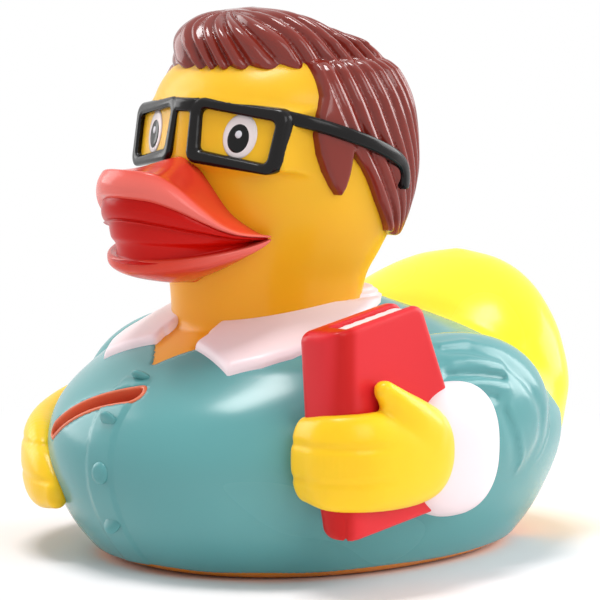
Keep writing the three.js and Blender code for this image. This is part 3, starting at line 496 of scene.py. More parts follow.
def add_piece(name, net, material):
    """Mesh object at the origin from a net in millimetres. It stands for the vinyl skin."""
    points, faces = net
    mesh = bpy.data.meshes.new(name)
    faces = faces.tolist() if isinstance(faces, np.ndarray) else faces
    mesh.from_pydata((points * MM).tolist(), [], faces)
    mesh.shade_smooth()
    mesh.validate()
    mesh.materials.append(material)
    piece = bpy.data.objects.new(name, mesh)
    bpy.context.collection.objects.link(piece)
    settle(piece)
    return piece


def add_skin(name, field, material):
    """Piece on the zero surface of a field."""
    add_piece(name, skin_net(field, *NETS[name]), material)


def settle(piece):
    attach(piece, "root")
    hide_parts("duck_skin")


def linear(colour):
    """Colour of the screen as the shader's own numbers."""
    return tuple(c / 12.92 if c <= 0.04045 else ((c + 0.055) / 1.055) ** 2.4 for c in colour[:3]) + (1.0,)


def feed(tree, node, inputs):
    """Gives each input a value of its own, or links it to another node's socket."""
    for name, value in inputs.items():
        if isinstance(value, bpy.types.NodeSocket):
            tree.links.new(value, node.inputs[name])
        else:
            node.inputs[name].default_value = value


def add_node(tree, kind, inputs=None, **settings):
    node = tree.nodes.new(kind)
    for name, value in settings.items():
        setattr(node, name, value)
    feed(tree, node, inputs or {})
    return node


def faded(tree, value, start, full, way="LINEAR"):
    """Share that goes from 0 at the start value to 1 at the full one."""
    return add_node(tree, "ShaderNodeMapRange", {"Value": value, "From Min": start, "From Max": full},
                    interpolation_type=way).outputs["Result"]


def mixed(tree, share, first, second):
    """Colour between two others, the second one where the share is 1."""
    return add_node(tree, "ShaderNodeMix", {"Factor": share, "A": first, "B": second},
                    data_type="RGBA").outputs["Result"]


def repaint(material, share, colour):
    """Lays another colour over the paint, where the share is 1."""
    tree = material.node_tree
    base = tree.nodes["Principled BSDF"].inputs["Base Color"]
    tree.links.new(mixed(tree, share, base.links[0].from_socket, linear(colour)), base)


def vinyl_surface_group():
    """Uneven spray and faint orange peel: a cloudy mask, a roughness and a height."""
    if "vinyl_surface" in bpy.data.node_groups:
        return bpy.data.node_groups["vinyl_surface"]
    tree = bpy.data.node_groups.new("vinyl_surface", "ShaderNodeTree")
    face = tree.interface
    face.new_socket("Vector", in_out="INPUT", socket_type="NodeSocketVector")
    for name, value in (("Cloud Scale", 45.0), ("Peel Scale", 900.0), ("Roughness Low", 0.25),
                        ("Roughness High", 0.35)):
        face.new_socket(name, in_out="INPUT", socket_type="NodeSocketFloat").default_value = value
    for name in ("Cloud", "Roughness", "Height"):
        face.new_socket(name, in_out="OUTPUT", socket_type="NodeSocketFloat")
    given = add_node(tree, "NodeGroupInput").outputs
    cloud, peel = (add_node(tree, "ShaderNodeTexNoise", {"Vector": given["Vector"], "Scale": given[scale],
                                                         "Detail": detail}).outputs["Fac"]
                   for scale, detail in (("Cloud Scale", 0.0), ("Peel Scale", 1.0)))
    spread = add_node(tree, "ShaderNodeMapRange", {
        "Value": cloud, "From Min": 0.2, "From Max": 0.8, "To Min": given["Roughness Low"],
        "To Max": given["Roughness High"]}, clamp=False)
    add_node(tree, "NodeGroupOutput", {"Cloud": cloud, "Roughness": spread.outputs["Result"], "Height": peel})
    return tree


def vinyl(name, colour, shade, roughness=(0.22, 0.3), glow=0.0, coat=0.08, shine=0.22, low=None):
    """Painted or bare vinyl: a colour that clouds towards a shade, with a soft gloss."""
    material = bpy.data.materials.new(name)
    material.use_nodes = True
    tree = material.node_tree
    where = add_node(tree, "ShaderNodeTexCoord").outputs["Object"]
    surface = add_node(tree, "ShaderNodeGroup", {
        "Vector": where, "Roughness Low": roughness[0], "Roughness High": roughness[1]},
        node_tree=vinyl_surface_group()).outputs
    ramp = add_node(tree, "ShaderNodeValToRGB", {"Fac": surface["Cloud"]})
    for stop, place, tone in zip(ramp.color_ramp.elements, (0.1, 0.9), (shade, colour)):
        stop.position = place
        stop.color = linear(tone)
    bump = add_node(tree, "ShaderNodeBump", {
        "Strength": 0.25, "Distance": 0.01 * MM, "Height": surface["Height"]})
    tint = ramp.outputs["Color"]
    if low:
        tint = fade_by_height(tree, where, tint, *low)
    feed(tree, tree.nodes["Principled BSDF"], {
        "Base Color": tint, "Roughness": surface["Roughness"], "Normal": bump.outputs["Normal"],
        "Specular IOR Level": shine, "Coat Weight": coat, "Coat Roughness": 0.12, "Subsurface Weight": glow,
        "Subsurface Radius": (1.0, 0.6, 0.25), "Subsurface Scale": 2.5 * MM})
    return material


def fade_by_height(tree, where, tint, colour, low_mm, high_mm):
    """Another colour below a height, faded in between two levels."""
    split = add_node(tree, "ShaderNodeSeparateXYZ", {"Vector": where})
    return mixed(tree, faded(tree, split.outputs["Z"], low_mm * MM, high_mm * MM), linear(colour), tint)


def length_of(name, description, millimetres):
    return bpy.props.FloatProperty(name=name, description=description, default=millimetres * MM,
                                   unit="LENGTH", precision=4)


class DuckSizes(bpy.types.PropertyGroup):
    collar_relief: length_of("Collar relief", "How far the collar stands out of the shirt", 1.4)
    placket_relief: length_of("Placket relief", "How far the placket stands out of the shirt", 0.25)
    button_radius: length_of("Button radius", "Radius of a shirt button", 1.7)
    button_relief: length_of("Button relief", "How far a button stands out of the placket", 0.6)
    hair_thickness: length_of("Hair thickness", "How far the hair stands out of the head", 1.7)
    strand_depth: length_of("Strand depth", "Depth of the grooves between strands", 0.85)
    rim_width: length_of("Rim width", "Width of the rims of the glasses", 1.8)
    rim_relief: length_of("Rim relief", "How far the rims stand out of the face", 1.0)
    slot_width: length_of("Slot width", "Width of the card slot in the breast", 2.7)
    strands: bpy.props.IntProperty(
        name="Strands", description="Strands of hair on each side of the head", default=22, min=8, max=60)


def colour_of(name, default):
    return bpy.props.FloatVectorProperty(name=name, description=f"Paint colour: {name.lower()}",
                                         subtype="COLOR_GAMMA", size=3, min=0, max=1, default=default)


class DuckColours(bpy.types.PropertyGroup):
    face: colour_of("Face", (0.95, 0.745, 0.15))
    tail: colour_of("Tail", (1.0, 0.96, 0.22))
    hands: colour_of("Hands", (0.99, 0.81, 0.13))
    # Painted shade: the orange that the bare yellow vinyl takes on towards the floor
    foot_painted_shade: colour_of("Foot shade", (0.92, 0.55, 0.1))
    shirt: colour_of("Shirt", (0.38, 0.635, 0.635))
    linen: colour_of("Collar and cuffs", (0.955, 0.89, 0.9))
    hair: colour_of("Hair", (0.52, 0.165, 0.115))
    frames: colour_of("Glasses", (0.05, 0.035, 0.035))
    bill: colour_of("Bill", (0.85, 0.25, 0.17))
    mouth: colour_of("Mouth", (0.8, 0.06, 0.02))
    book: colour_of("Book", (0.86, 0.165, 0.195))
    pages: colour_of("Pages", (0.96, 0.93, 0.92))
    # Painted shade: the salmon orange that the bare yellow vinyl shows in the shade inside the slot
    slot: colour_of("Card slot", (0.9, 0.5, 0.37))


def sleeve_field(p, side):
    """Puffed sleeve, bent back at the elbow; its pinched folds and the crease round the cuff are added in
    shirt_base.
    """
    q = p * np.array([side, 1, 1])
    share = (q[:, 1] - (SLEEVE_CENTRE[1] - SLEEVE_HALF[1])) / (2 * SLEEVE_HALF[1])
    rise = 3.2 * np.clip(share * (1 - share), 0, 0.25)
    away = (q - np.array(SLEEVE_CENTRE)) / np.array(SLEEVE_HALF)
    away[:, 2] -= (rise - 0.5) / SLEEVE_HALF[2]
    reach = (np.hypot(away[:, 0], away[:, 2]) ** 2.2 + np.abs(away[:, 1]) ** 2.3) ** (1 / 2.25)
    return (reach - 1) * 9.5


true_sleeves = {side: even(lambda p, side=side: sleeve_field(p, side)) for side in (1, -1)}


def shirt_base(p):
    """Torso with both sleeves, before the openings."""
    torso = true_body(p) - 0.3
    for side in (1, -1):
        q = p * np.array([side, 1, 1])
        sleeve = true_sleeves[side](p)
        for path, width, depth in FOLDS:
            sleeve = sleeve + depth * np.exp(-(path_distance(q, path) / width) ** 2)
        torso = union(torso, sleeve, 1.5)
    return torso


def slot_field(p, width, depth):
    """Curved blade that goes inwards and down from the breast."""
    (near_x, near_z), (far_x, far_z) = SLOT_ENDS
    share = np.clip((p[:, 0] - near_x) / (far_x - near_x), 0, 1)
    z = near_z + (far_z - near_z) * share + SLOT_ARCH * np.sin(np.pi * share)
    level = z / SHOULDER_Z
    half = BODY_HALF_WIDTH * body_side(level)
    aside = np.clip(np.abs(p[:, 0]) / half, 0, 1) ** (1 / BODY_POWER)
    front = BODY_MIDDLE_Y + (breast_y(level) - BODY_MIDDLE_Y) * (1 - aside ** 2) ** (BODY_POWER / 2)
    lean_y, lean_z = SLOT_LEAN
    inward = (p[:, 1] - front) * lean_y - (p[:, 2] - z) * lean_z
    across = (p[:, 1] - front) * lean_z + (p[:, 2] - z) * lean_y
    narrow = width / 2 * (1 - 0.35 * share)
    past = np.maximum(p[:, 0] - near_x, far_x - p[:, 0])
    middle = depth / 2 + 1.5
    edge = np.hypot(across, np.maximum(past + 1, 0)) - narrow
    return np.maximum(edge, np.abs(inward + 3 - middle) - middle)


def shirt_field(p, sizes):
    placket = PLACKET_HALF_WIDTH - np.abs(p[:, 0] - PLACKET_SHIFT)
    on_strip = smooth_step(-0.15, 0.25, placket) * (1 - smooth_step(29.0, 29.6, p[:, 2])) * (p[:, 1] < 0)
    surface = shirt_base(p) - sizes.placket_relief / MM * on_strip
    surface = common(surface, p[:, 1] - hem_y(p[:, 2]) - 1, 0.5)
    surface = common(surface, 1.3 + 0.1 * np.sin(p[:, 0] * 0.35 + p[:, 1] * 0.2) - p[:, 2], 0.4)
    opening = outline_field(np.abs(p[:, 0]), p[:, 1], [(-1, -16)] + NECKLINE + [(-1, -28.6)])
    surface = common(surface, -np.maximum(opening, 28 - p[:, 2]), 0.5)
    return common(surface, -slot_field(p, sizes.slot_width / MM + SLOT_LIP, SLOT_DEPTH + 0.4), 0.3)


def collar_field(p, relief):
    body = true_body(p)
    wings = outline_field(np.abs(p[:, 0]), p[:, 1], [(-1, -20), (4.7, -22)] + COLLAR_WINGS + [(-1, 20.2)])
    inner = outline_field(np.abs(p[:, 0]), p[:, 1], [(-1, -40), (4.4, -40), (4.4, -16), (-1, -16)])
    shell = common(body - relief, np.maximum(-1.5 - body, 26 - p[:, 2]), 0.3)
    sheet = common(wings, -inner, 0.5)
    return common(shell, sheet, 1.1)


class Build:
    """Shared run of the operators, which pass the sizes and colours of the scene on."""

    def execute(self, context):
        self.build(context.scene.duck_sizes, context.scene.duck_colours)
        return {"FINISHED"}


class DUCK_OT_body(Build, bpy.types.Operator):
    """Makes the bare vinyl that shows below and behind the shirt, with the tail"""

    bl_idname = "duck.body"
    bl_label = "Body and Tail"

    def build(self, sizes, colours):
        width = sizes.slot_width / MM

        def field(p):
            skin = union(true_body(p), true_tail(p), 2.0)
            skin = common(skin, -p[:, 2], 0.8)
            axis = np.hypot(p[:, 0], p[:, 1] - SQUEAKER_Y)
            for radius, depth in (SEAT_FLANGE, SEAT_BORE):
                skin = np.maximum(skin, -np.maximum(axis - radius, p[:, 2] - depth))
            return np.maximum(skin, -slot_field(p, width + SLOT_LIP, SLOT_DEPTH + 0.4))

        # Painted shade: the bare yellow vinyl turns orange towards the foot, faded in from 16 mm down to 1.5
        # mm
        paint = vinyl("lemon_vinyl", colours.tail, (1.0, 0.93, 0.18), glow=0.2,
                      low=(colours.foot_painted_shade, 1.5, 16))
        add_skin("body_skin", field, paint)


class DUCK_OT_shirt(Build, bpy.types.Operator):
    """Makes the shirt with its sleeves, placket and card slot, and the collar"""

    bl_idname = "duck.shirt"
    bl_label = "Shirt and Collar"

    def build(self, sizes, colours):
        teal = vinyl("teal_paint", colours.shirt, (0.34, 0.585, 0.595), roughness=(0.2, 0.28), shine=0.34)
        add_skin("shirt", lambda p: shirt_field(p, sizes), teal)
        linen = vinyl("linen_paint", colours.linen, (0.95, 0.87, 0.885), roughness=(0.28, 0.38))
        relief = sizes.collar_relief / MM
        add_skin("collar", lambda p: collar_field(p, relief), linen)
        width = sizes.slot_width / MM

        def lining(p):
            whole = slot_field(p, width + 2 * SLOT_LIP, SLOT_DEPTH + SLOT_LIP)
            lips = common(whole, true_body(p) - 0.5, 0.35)
            return common(lips, -slot_field(p, width, SLOT_DEPTH), 0.3)

        # Painted shade: the bare yellow vinyl inside the slot is given a salmon orange for the shade and warm
        # bounce light in the recess
        bare = vinyl("slot_vinyl_painted_shade", colours.slot, (0.87, 0.43, 0.29), glow=0.1)
        add_skin("slot_lining", lining, bare)


def button_tree(paint):
    """Geometry Nodes: a flat-topped round button on each point, turned to face its direction."""
    tree = bpy.data.node_groups.new("shirt_buttons", "GeometryNodeTree")
    face = tree.interface
    face.new_socket("Geometry", in_out="INPUT", socket_type="NodeSocketGeometry")
    radius = face.new_socket("Radius", in_out="INPUT", socket_type="NodeSocketFloat")
    relief = face.new_socket("Relief", in_out="INPUT", socket_type="NodeSocketFloat")
    face.new_socket("Geometry", in_out="OUTPUT", socket_type="NodeSocketGeometry")

    def math_node(operation, *values):
        return add_node(tree, "ShaderNodeMath", dict(enumerate(values)), operation=operation).outputs[0]

    given = add_node(tree, "NodeGroupInput").outputs
    ball = add_node(tree, "GeometryNodeMeshUVSphere", {"Segments": 40, "Rings": 24, "Radius": 1.0})
    where = add_node(tree, "GeometryNodeInputPosition")
    x, y, z = add_node(tree, "ShaderNodeSeparateXYZ", {0: where.outputs[0]}).outputs
    squared = math_node("ADD", math_node("MULTIPLY", x, x), math_node("MULTIPLY", y, y))
    left = math_node("MAXIMUM", math_node("SUBTRACT", 1.0, math_node("POWER", squared, 1.8)), 0.0)
    crown = math_node("MULTIPLY", math_node("SIGN", z), math_node("POWER", left, 0.6))
    place = add_node(tree, "ShaderNodeCombineXYZ", {
        0: math_node("MULTIPLY", x, given["Radius"]), 1: math_node("MULTIPLY", y, given["Radius"]),
        2: math_node("MULTIPLY", crown, given["Relief"])})
    shaped = add_node(tree, "GeometryNodeSetPosition", {
        "Geometry": ball.outputs["Mesh"], "Position": place.outputs[0]})
    facing = add_node(tree, "GeometryNodeInputNamedAttribute", {"Name": "facing"}, data_type="FLOAT_VECTOR")
    turn = add_node(tree, "FunctionNodeAlignRotationToVector", {"Vector": facing.outputs["Attribute"]},
                    axis="Z")
    spread = add_node(tree, "GeometryNodeInstanceOnPoints", {
        "Points": given["Geometry"], "Instance": shaped.outputs["Geometry"],
        "Rotation": turn.outputs["Rotation"]})
    real = add_node(tree, "GeometryNodeRealizeInstances", {"Geometry": spread.outputs["Instances"]})
    painted = add_node(tree, "GeometryNodeSetMaterial", {
        "Geometry": real.outputs["Geometry"], "Material": paint})
    add_node(tree, "NodeGroupOutput", {"Geometry": painted.outputs["Geometry"]})
    return tree, radius.identifier, relief.identifier


class DUCK_OT_buttons(Build, bpy.types.Operator):
    """Sets the shirt buttons on the placket"""

    bl_idname = "duck.buttons"
    bl_label = "Buttons"

    def build(self, sizes, colours):
        levels = np.array(BUTTON_HEIGHTS) / SHOULDER_Z
        front = breast_y(levels)
        slope = (breast_y(levels + 0.01) - front) / (0.01 * SHOULDER_Z)
        seat = sizes.placket_relief / MM + 0.3
        middle = np.zeros(len(BUTTON_HEIGHTS))
        points = np.stack([middle, front - seat, np.array(BUTTON_HEIGHTS)], 1)
        facing = np.stack([middle, middle - 1, -slope], 1)
        mesh = bpy.data.meshes.new("buttons")
        mesh.from_pydata((points * MM).tolist(), [], [])
        mesh.attributes.new("facing", "FLOAT_VECTOR", "POINT").data.foreach_set("vector", facing.ravel())
        seeds = bpy.data.objects.new("button_seeds", mesh)
        bpy.context.collection.objects.link(seeds)
        paint = vinyl("button_paint", colours.shirt, (0.34, 0.58, 0.59), roughness=(0.2, 0.28))
        tree, radius, relief = button_tree(paint)
        modifier = seeds.modifiers.new("buttons", "NODES")
        modifier.node_group = tree
        modifier[radius] = sizes.button_radius
        modifier[relief] = sizes.button_relief
        bpy.context.view_layer.update()
        ready = seeds.evaluated_get(bpy.context.evaluated_depsgraph_get())
        buttons = bpy.data.objects.new("buttons", bpy.data.meshes.new_from_object(ready))
        seeds.modifiers.clear()
        bpy.data.objects.remove(seeds)
        buttons.data.shade_smooth()
        bpy.context.collection.objects.link(buttons)
        settle(buttons)


def glasses_face(x, z):
    """Front face of the glasses: wrapped round the face and leaning in at the bottom."""
    return BRIDGE_Y + 0.43 * (np.hypot(x, 3) - 3) + 0.2 * (z - GLASSES_Z)


def rim_outline(inset):
    top = GLASSES_Z + GLASSES_HALF_HEIGHT - inset
    foot = GLASSES_Z - GLASSES_HALF_HEIGHT + inset
    inner = BRIDGE_HALF_WIDTH + inset
    outer = GLASSES_HALF_WIDTH - inset
    return [(inner + 0.5, foot + RIM_SLOPE), (outer - 0.6, foot), (outer, top), (inner, top + RIM_SLOPE)]


def inset_outline(outline, inset):
    """Convex outline with every side moved inwards."""
    points = np.array(outline, float)
    centre = points.mean(0)
    lines = []
    for a, b in zip(points, np.roll(points, -1, axis=0)):
        normal = np.array([b[1] - a[1], a[0] - b[0]])
        normal /= np.linalg.norm(normal)
        normal *= np.sign(normal @ (centre - a))
        lines.append((normal, normal @ a + inset))
    corners = []
    for (n0, d0), (n1, d1) in zip([lines[-1]] + lines[:-1], lines):
        corners.append(np.linalg.solve(np.array([n0, n1]), np.array([d0, d1])))
    return corners


def rounded_outline(x, z, outline, radius):
    """Convex outline with its corners rounded."""
    return outline_field(x, z, inset_outline(outline, radius)) - radius


def eye_pads_field(p, relief):
    """Face filled out behind the rims."""
    x = np.abs(p[:, 0])
    edge = x / GLASSES_HALF_WIDTH
    slope = RIM_SLOPE * (1 - np.clip(edge, 0, 1))
    past = np.maximum(x - GLASSES_HALF_WIDTH + 0.4, 0)
    front = (glasses_face(x, p[:, 2]) + relief - p[:, 1] + 5.5 * past ** 1.3) * 0.9
    height = np.abs(p[:, 2] - GLASSES_Z - slope * 0.8) - GLASSES_HALF_HEIGHT - 0.2 * slope + 0.6
    return common(common(front, height, 1.2), np.maximum(x - 17.4, p[:, 1] + 6), 0.8)


class DUCK_OT_head(Build, bpy.types.Operator):
    """Makes the head and neck, with the face filled out behind the glasses"""

    bl_idname = "duck.head"
    bl_label = "Head"

    def build(self, sizes, colours):
        relief = sizes.rim_relief / MM

        def field(p):
            skin = union(true_head(p), eye_pads_field(p, relief), 1.9)
            x = np.abs(p[:, 0])
            ahead = (p[:, 1] - glasses_face(x, p[:, 2]) - relief) * 0.92
            window = rounded_outline(x, p[:, 2], rim_outline(0.6), 1.0)
            skin = common(skin, -np.maximum(ahead, window), 0.15)
            chest = np.maximum(true_body(p) - 0.12, np.hypot(p[:, 0], p[:, 1] + 21) - 9)
            chest = np.maximum(chest, 30 - p[:, 2])
            return union(skin, chest, 1.2)

        # Painted shade: the face turns a deeper amber below 60 mm, full at the neck at 30 mm, for the shade
        # under the bill and chin
        paint = vinyl("face_vinyl", colours.face, (0.94, 0.71, 0.12), glow=0.2, roughness=(0.28, 0.38),
                      low=((0.95, 0.63, 0.08), 30, 60))
        add_skin("head_skin", field, paint)


def bill_place(turn, share, z, reach):
    return (BILL_HALF_WIDTH * math.sin(turn) * share,
            BILL_ROOT_Y + 2 + (reach - BILL_ROOT_Y - 2) * math.cos(turn) * share, z)


def closed_spline(points, count):
    """Ring of points on a smooth closed curve through the given ones."""
    points = np.array(points, float)
    n = len(points)
    ring = []
    per_span = max(1, count // n)
    for i in range(n):
        p0, p1, p2, p3 = (points[(i + k) % n] for k in (-1, 0, 1, 2))
        for t in np.arange(per_span) / per_span:
            ring.append(0.5 * (2 * p1 + (p2 - p0) * t + (2 * p0 - 5 * p1 + 4 * p2 - p3) * t * t
                               + (3 * p1 - p0 - 3 * p2 + p3) * t ** 3))
    return ring


def crease_height(ahead):
    """Level of the line where the halves of the bill part, highest at the front."""
    return BILL_CORNER_Z - 0.3 + (MOUTH_TOP_Z + 0.2 - BILL_CORNER_Z) * ahead ** 1.7


def rim_height(degrees):
    """Level of the turned-up edge of the upper bill."""
    return BILL_CORNER_Z + 0.5 + (BILL_RIM_Z - BILL_CORNER_Z - 0.5) * float(rim_rise(abs(degrees)))


def lower_lip_height(ahead):
    return BILL_CORNER_Z - 0.1 - (BILL_CORNER_Z - MOUTH_BOTTOM_Z) * ahead ** 0.8


def bill_loft(section, tip, count):
    """Loft of a section that changes from one corner of the mouth, round the front, to the other."""
    rings = []
    for degrees in np.linspace(-90, 90, 121):
        turn = math.radians(degrees)
        shape = section(degrees, max(math.cos(turn), 0.0))
        rings.append(closed_spline([bill_place(turn, share, z, tip) for share, z in shape], count))
    return loft(rings)


def upper_section(degrees, ahead):
    rim = rim_height(degrees)
    mouth = crease_height(ahead)
    deep = rim - mouth
    root = BILL_CORNER_Z + 1 + (BILL_RIM_Z + 1.2 - BILL_CORNER_Z - 1) * ahead ** 0.62
    saddle = (rim + root) / 2 - 0.7 * ahead
    return [(0.04, mouth + 0.2), (0.04, root), (0.36, root), (0.62, saddle + 0.25),
            (0.82, (saddle + rim) / 2 - 0.15), (0.93, rim - 0.05), (0.965, rim - 0.07 * deep),
            (0.993, rim - 0.2 * deep), (1.0, rim - 0.35 * deep), (0.985, rim - 0.49 * deep),
            (0.93, rim - 0.6 * deep), (0.89, rim - 0.8 * deep), (0.85, mouth), (0.5, mouth + 0.2 * ahead)]


def lower_section(degrees, ahead):
    lip = lower_lip_height(ahead)
    under = lip - 0.3 - 1.6 * ahead ** 0.5
    chin = BILL_CORNER_Z - 0.4 - (BILL_CORNER_Z - CHIN_Z - 0.2) * ahead ** 0.45
    shape = [(0.04, lip - 0.8 * ahead), (0.5, lip - 0.9 * ahead), (0.84, lip - 0.5 * ahead), (0.92, lip),
             (0.975, lip), (1.0, lip - 0.7 * ahead), (0.98, under), (0.86, (under + chin) / 2 + 0.1),
             (0.62, chin + 0.35 * ahead), (0.4, chin), (0.04, chin)]
    narrow = 0.93 + 0.07 * math.sin(math.radians(abs(degrees)))
    return [(share * narrow, z) for share, z in shape]


def palate_section(degrees, ahead):
    """Plump palate below the brim."""
    foot = crease_height(ahead) - 0.15 * ahead
    top = foot + 0.48 * (rim_height(degrees) - foot)
    middle = (foot + top) / 2
    return [(0.3, foot + 0.02), (0.3, top), (0.86, top), (0.935, top - 0.1 * ahead),
            (0.955, middle + 0.6 * ahead), (0.95, middle - 0.6 * ahead), (0.92, foot + 0.25 * ahead),
            (0.88, foot)]


def tongue_section(_, ahead):
    """Tongue that runs from the crease down to the lower lip."""
    foot = crease_height(ahead) - 0.15 * ahead
    lip = lower_lip_height(ahead)
    middle = (foot + lip) / 2
    return [(0.3, lip - 0.6 * ahead), (0.3, foot + 0.2 * ahead), (0.86, foot + 0.2 * ahead),
            (0.885, foot - 0.35 * ahead), (0.87, middle + 0.3 * ahead), (0.83, middle - 0.9 * ahead),
            (0.82, lip + 0.1 * ahead), (0.84, lip - 0.7 * ahead)]


def brim_painted_sheen(material, colour):
    """Painted highlight: a paler pink towards the edge of the bill, by the distance from its root, for the
    sheen of light on the brim.
    """
    tree = material.node_tree
    where = add_node(tree, "ShaderNodeTexCoord").outputs["Object"]
    root = -(BILL_ROOT_Y + 2) * MM
    scale = (1 / (BILL_HALF_WIDTH * MM), 1 / ((BILL_TIP_Y - BILL_ROOT_Y - 2) * MM), 0)
    place = add_node(tree, "ShaderNodeVectorMath", {0: where, 1: (0, root, 0)}, operation="ADD")
    shape = add_node(tree, "ShaderNodeVectorMath", {0: place.outputs["Vector"], 1: scale},
                     operation="MULTIPLY")
    reach = add_node(tree, "ShaderNodeVectorMath", {0: shape.outputs["Vector"]}, operation="LENGTH")
    repaint(material, faded(tree, reach.outputs["Value"], *BRIM_SHEEN_FADE, "SMOOTHSTEP"), colour)


class DUCK_OT_bill(Build, bpy.types.Operator):
    """Makes both halves of the bill and the wall of the mouth between them"""

    bl_idname = "duck.bill"
    bl_label = "Bill"

    def build(self, sizes, colours):
        coral = vinyl("coral_paint", colours.bill, (0.82, 0.21, 0.13), roughness=(0.2, 0.28), coat=0.15)
        # Painted highlight: paler pink towards the brim for the sheen of light on it
        brim_painted_sheen(coral, (0.93, 0.47, 0.43))
        add_piece("upper_bill", bill_loft(upper_section, BILL_TIP_Y, 84), coral)
        add_piece("lower_bill", bill_loft(lower_section, BILL_TIP_Y + 1.9, 66), coral)
        red = vinyl("mouth_paint", colours.mouth, (0.72, 0.04, 0.01), roughness=(0.26, 0.34), shine=0.12)
        nets = [bill_loft(section, BILL_TIP_Y, 56) for section in (palate_section, tongue_section)]
        add_piece("mouth_wall", merged(nets), red)


def strand_profile(u):
    """Full strand between two sharp grooves, from 0 in a groove to 1 on the crown."""
    return np.sin(np.pi * (u - np.floor(u)) ** 0.85)


def side_hair_field(p, head, thickness, depth, strands):
    """Hair of the sides and back, swept down and backwards below the ledge."""
    z = p[:, 2]
    turn = np.abs(np.arctan2(p[:, 0], -(p[:, 1] - HEAD_MIDDLE_Y)))
    drop = np.clip(LEDGE_Z - 1.4 - z, -2, 40)
    sweep = 0.012 * drop + 0.0006 * drop * np.abs(drop)
    u = turn - sweep * smooth_step(0, 1.3, np.pi - turn)
    groove = depth * (1 - strand_profile((u - FIRST_LOCK_TURN) * strands / np.pi))
    groove *= smooth_step(FIRST_LOCK_TURN - 0.02, FIRST_LOCK_TURN + 0.04, u)
    shell = common(head - thickness + groove, z - LEDGE_Z, 1.6)
    line = outline_field(p[:, 1], z, HAIRLINE)
    return common(common(shell, line, 0.7), -head - 1.5, 0.2)


def top_hair_field(p, head, depth):
    """Quiff and crown, with locks that leave a ridge, swirl round its front and fall to the ledge."""
    whorl = np.array(WHORL)
    ridge = np.array(RIDGE_BACK) - whorl
    length = np.linalg.norm(ridge)
    share = np.clip((p[:, :2] - whorl) @ ridge / length ** 2, 0, 1)
    off = p[:, :2] - whorl - share[:, None] * ridge
    turn = np.arctan2(off[:, 0], -off[:, 1])
    half = np.pi * LOCK_TURN_RADIUS + length
    count = round(2 * half / LOCK_WIDTH)
    way = LOCK_TURN_RADIUS * turn + share * length * np.sign(turn)
    fall = np.clip(QUIFF_TOP_Z - p[:, 2], 0, 12)
    slant = 0.45 + 0.45 * np.exp(-(turn / 1.0) ** 2)
    locks = strand_profile((way - slant * fall) * count / (2 * half))
    growth = smooth_step(0.3, 4, np.hypot(off[:, 0], off[:, 1]))
    crown = common(head - 1.0, np.maximum(FOREHEAD_Z - 1 - p[:, 2], -6 - p[:, 1]), 1.0)
    return union(true_quiff(p), crown, 1.2) + depth * 1.35 * growth * (1 - locks)


class DUCK_OT_hair(Build, bpy.types.Operator):
    """Makes the moulded hair: the quiff and the swept sides and back"""

    bl_idname = "duck.hair"
    bl_label = "Hair"

    def build(self, sizes, colours):
        thickness, depth = sizes.hair_thickness / MM, sizes.strand_depth / MM

        def field(p):
            head = true_head(p)
            side = side_hair_field(p, head, thickness, depth, sizes.strands)
            return union(side, top_hair_field(p, head, depth), 0.3)

        paint = vinyl("hair_paint", colours.hair, (0.45, 0.125, 0.08), roughness=(0.13, 0.2), coat=0.5,
                      low=((0.78, 0.34, 0.14), 47.5, 52))
        add_skin("hair", field, paint)


def temple_net(side):
    """Temple: a rounded flat bar swept along the side of the head."""
    curve = spline(TEMPLE_PATH, 60)
    along = np.gradient(curve, axis=0)
    along /= np.linalg.norm(along, axis=1, keepdims=True)
    out = curve - np.array([0, HEAD_MIDDLE_Y, 0])
    out[:, 2] = 0
    out /= np.linalg.norm(out, axis=1, keepdims=True)
    height = np.cross(along, out)
    height /= np.linalg.norm(height, axis=1, keepdims=True)
    angles = np.linspace(0, 2 * np.pi, 24, endpoint=False)
    across = np.sign(np.cos(angles)) * np.abs(np.cos(angles)) ** 0.55
    up = np.sign(np.sin(angles)) * np.abs(np.sin(angles)) ** 0.55
    rings = []
    for i, centre in enumerate(curve):
        taper = 1 - 0.5 * max(0.0, (i - 56) / 3) ** 2
        deep = 0.5 + TEMPLE_PROUD / 2
        rings.append(centre + out[i] * (deep * across[:, None] + TEMPLE_PROUD - deep)
                     + height[i] * (TEMPLE_HALF_HEIGHT * taper * up[:, None]))
    return loft(np.array(rings) * np.array([side, 1, 1]))


class DUCK_OT_glasses(Build, bpy.types.Operator):
    """Makes the rims, the bridge and the temples of the glasses"""

    bl_idname = "duck.glasses"
    bl_label = "Glasses"

    def build(self, sizes, colours):
        width = sizes.rim_width / MM

        def field(p):
            x, z = np.abs(p[:, 0]), p[:, 2]
            outer = rounded_outline(x, z, rim_outline(0), 2.0)
            inner = rounded_outline(x, z, rim_outline(width), 0.9)
            ring = np.maximum(outer, -inner)
            top = GLASSES_Z + GLASSES_HALF_HEIGHT + RIM_SLOPE - 1.4
            bridge = np.maximum(x - BRIDGE_HALF_WIDTH - 1, np.abs(z - top) - 1.05)
            flat = union(ring, bridge, 0.5)
            depth = np.abs(p[:, 1] - glasses_face(x, z) - 1.1) * 0.92 - 1.1
            return common(flat, depth, 0.8)

        paint = vinyl("frame_paint", colours.frames, (0.035, 0.03, 0.03), roughness=(0.16, 0.24), coat=0.1)
        rims = skin_net(field, *NETS["glasses"])
        add_piece("glasses", merged([rims, temple_net(1), temple_net(-1)]), paint)


def eye_disc(side, centre, half_width, half_height, lift, relief):
    """Thin domed oval on the face behind a rim."""
    angles = np.linspace(0, 2 * np.pi, 48, endpoint=False)
    rings = []
    for share, height in EYE_DOME:
        x = centre[0] + half_width * share * np.cos(angles)
        z = centre[1] + half_height * share * np.sin(angles)
        y = glasses_face(x, z) + relief - lift * height
        rings.append(np.stack([side * x, y, z], 1))
    return loft(rings)


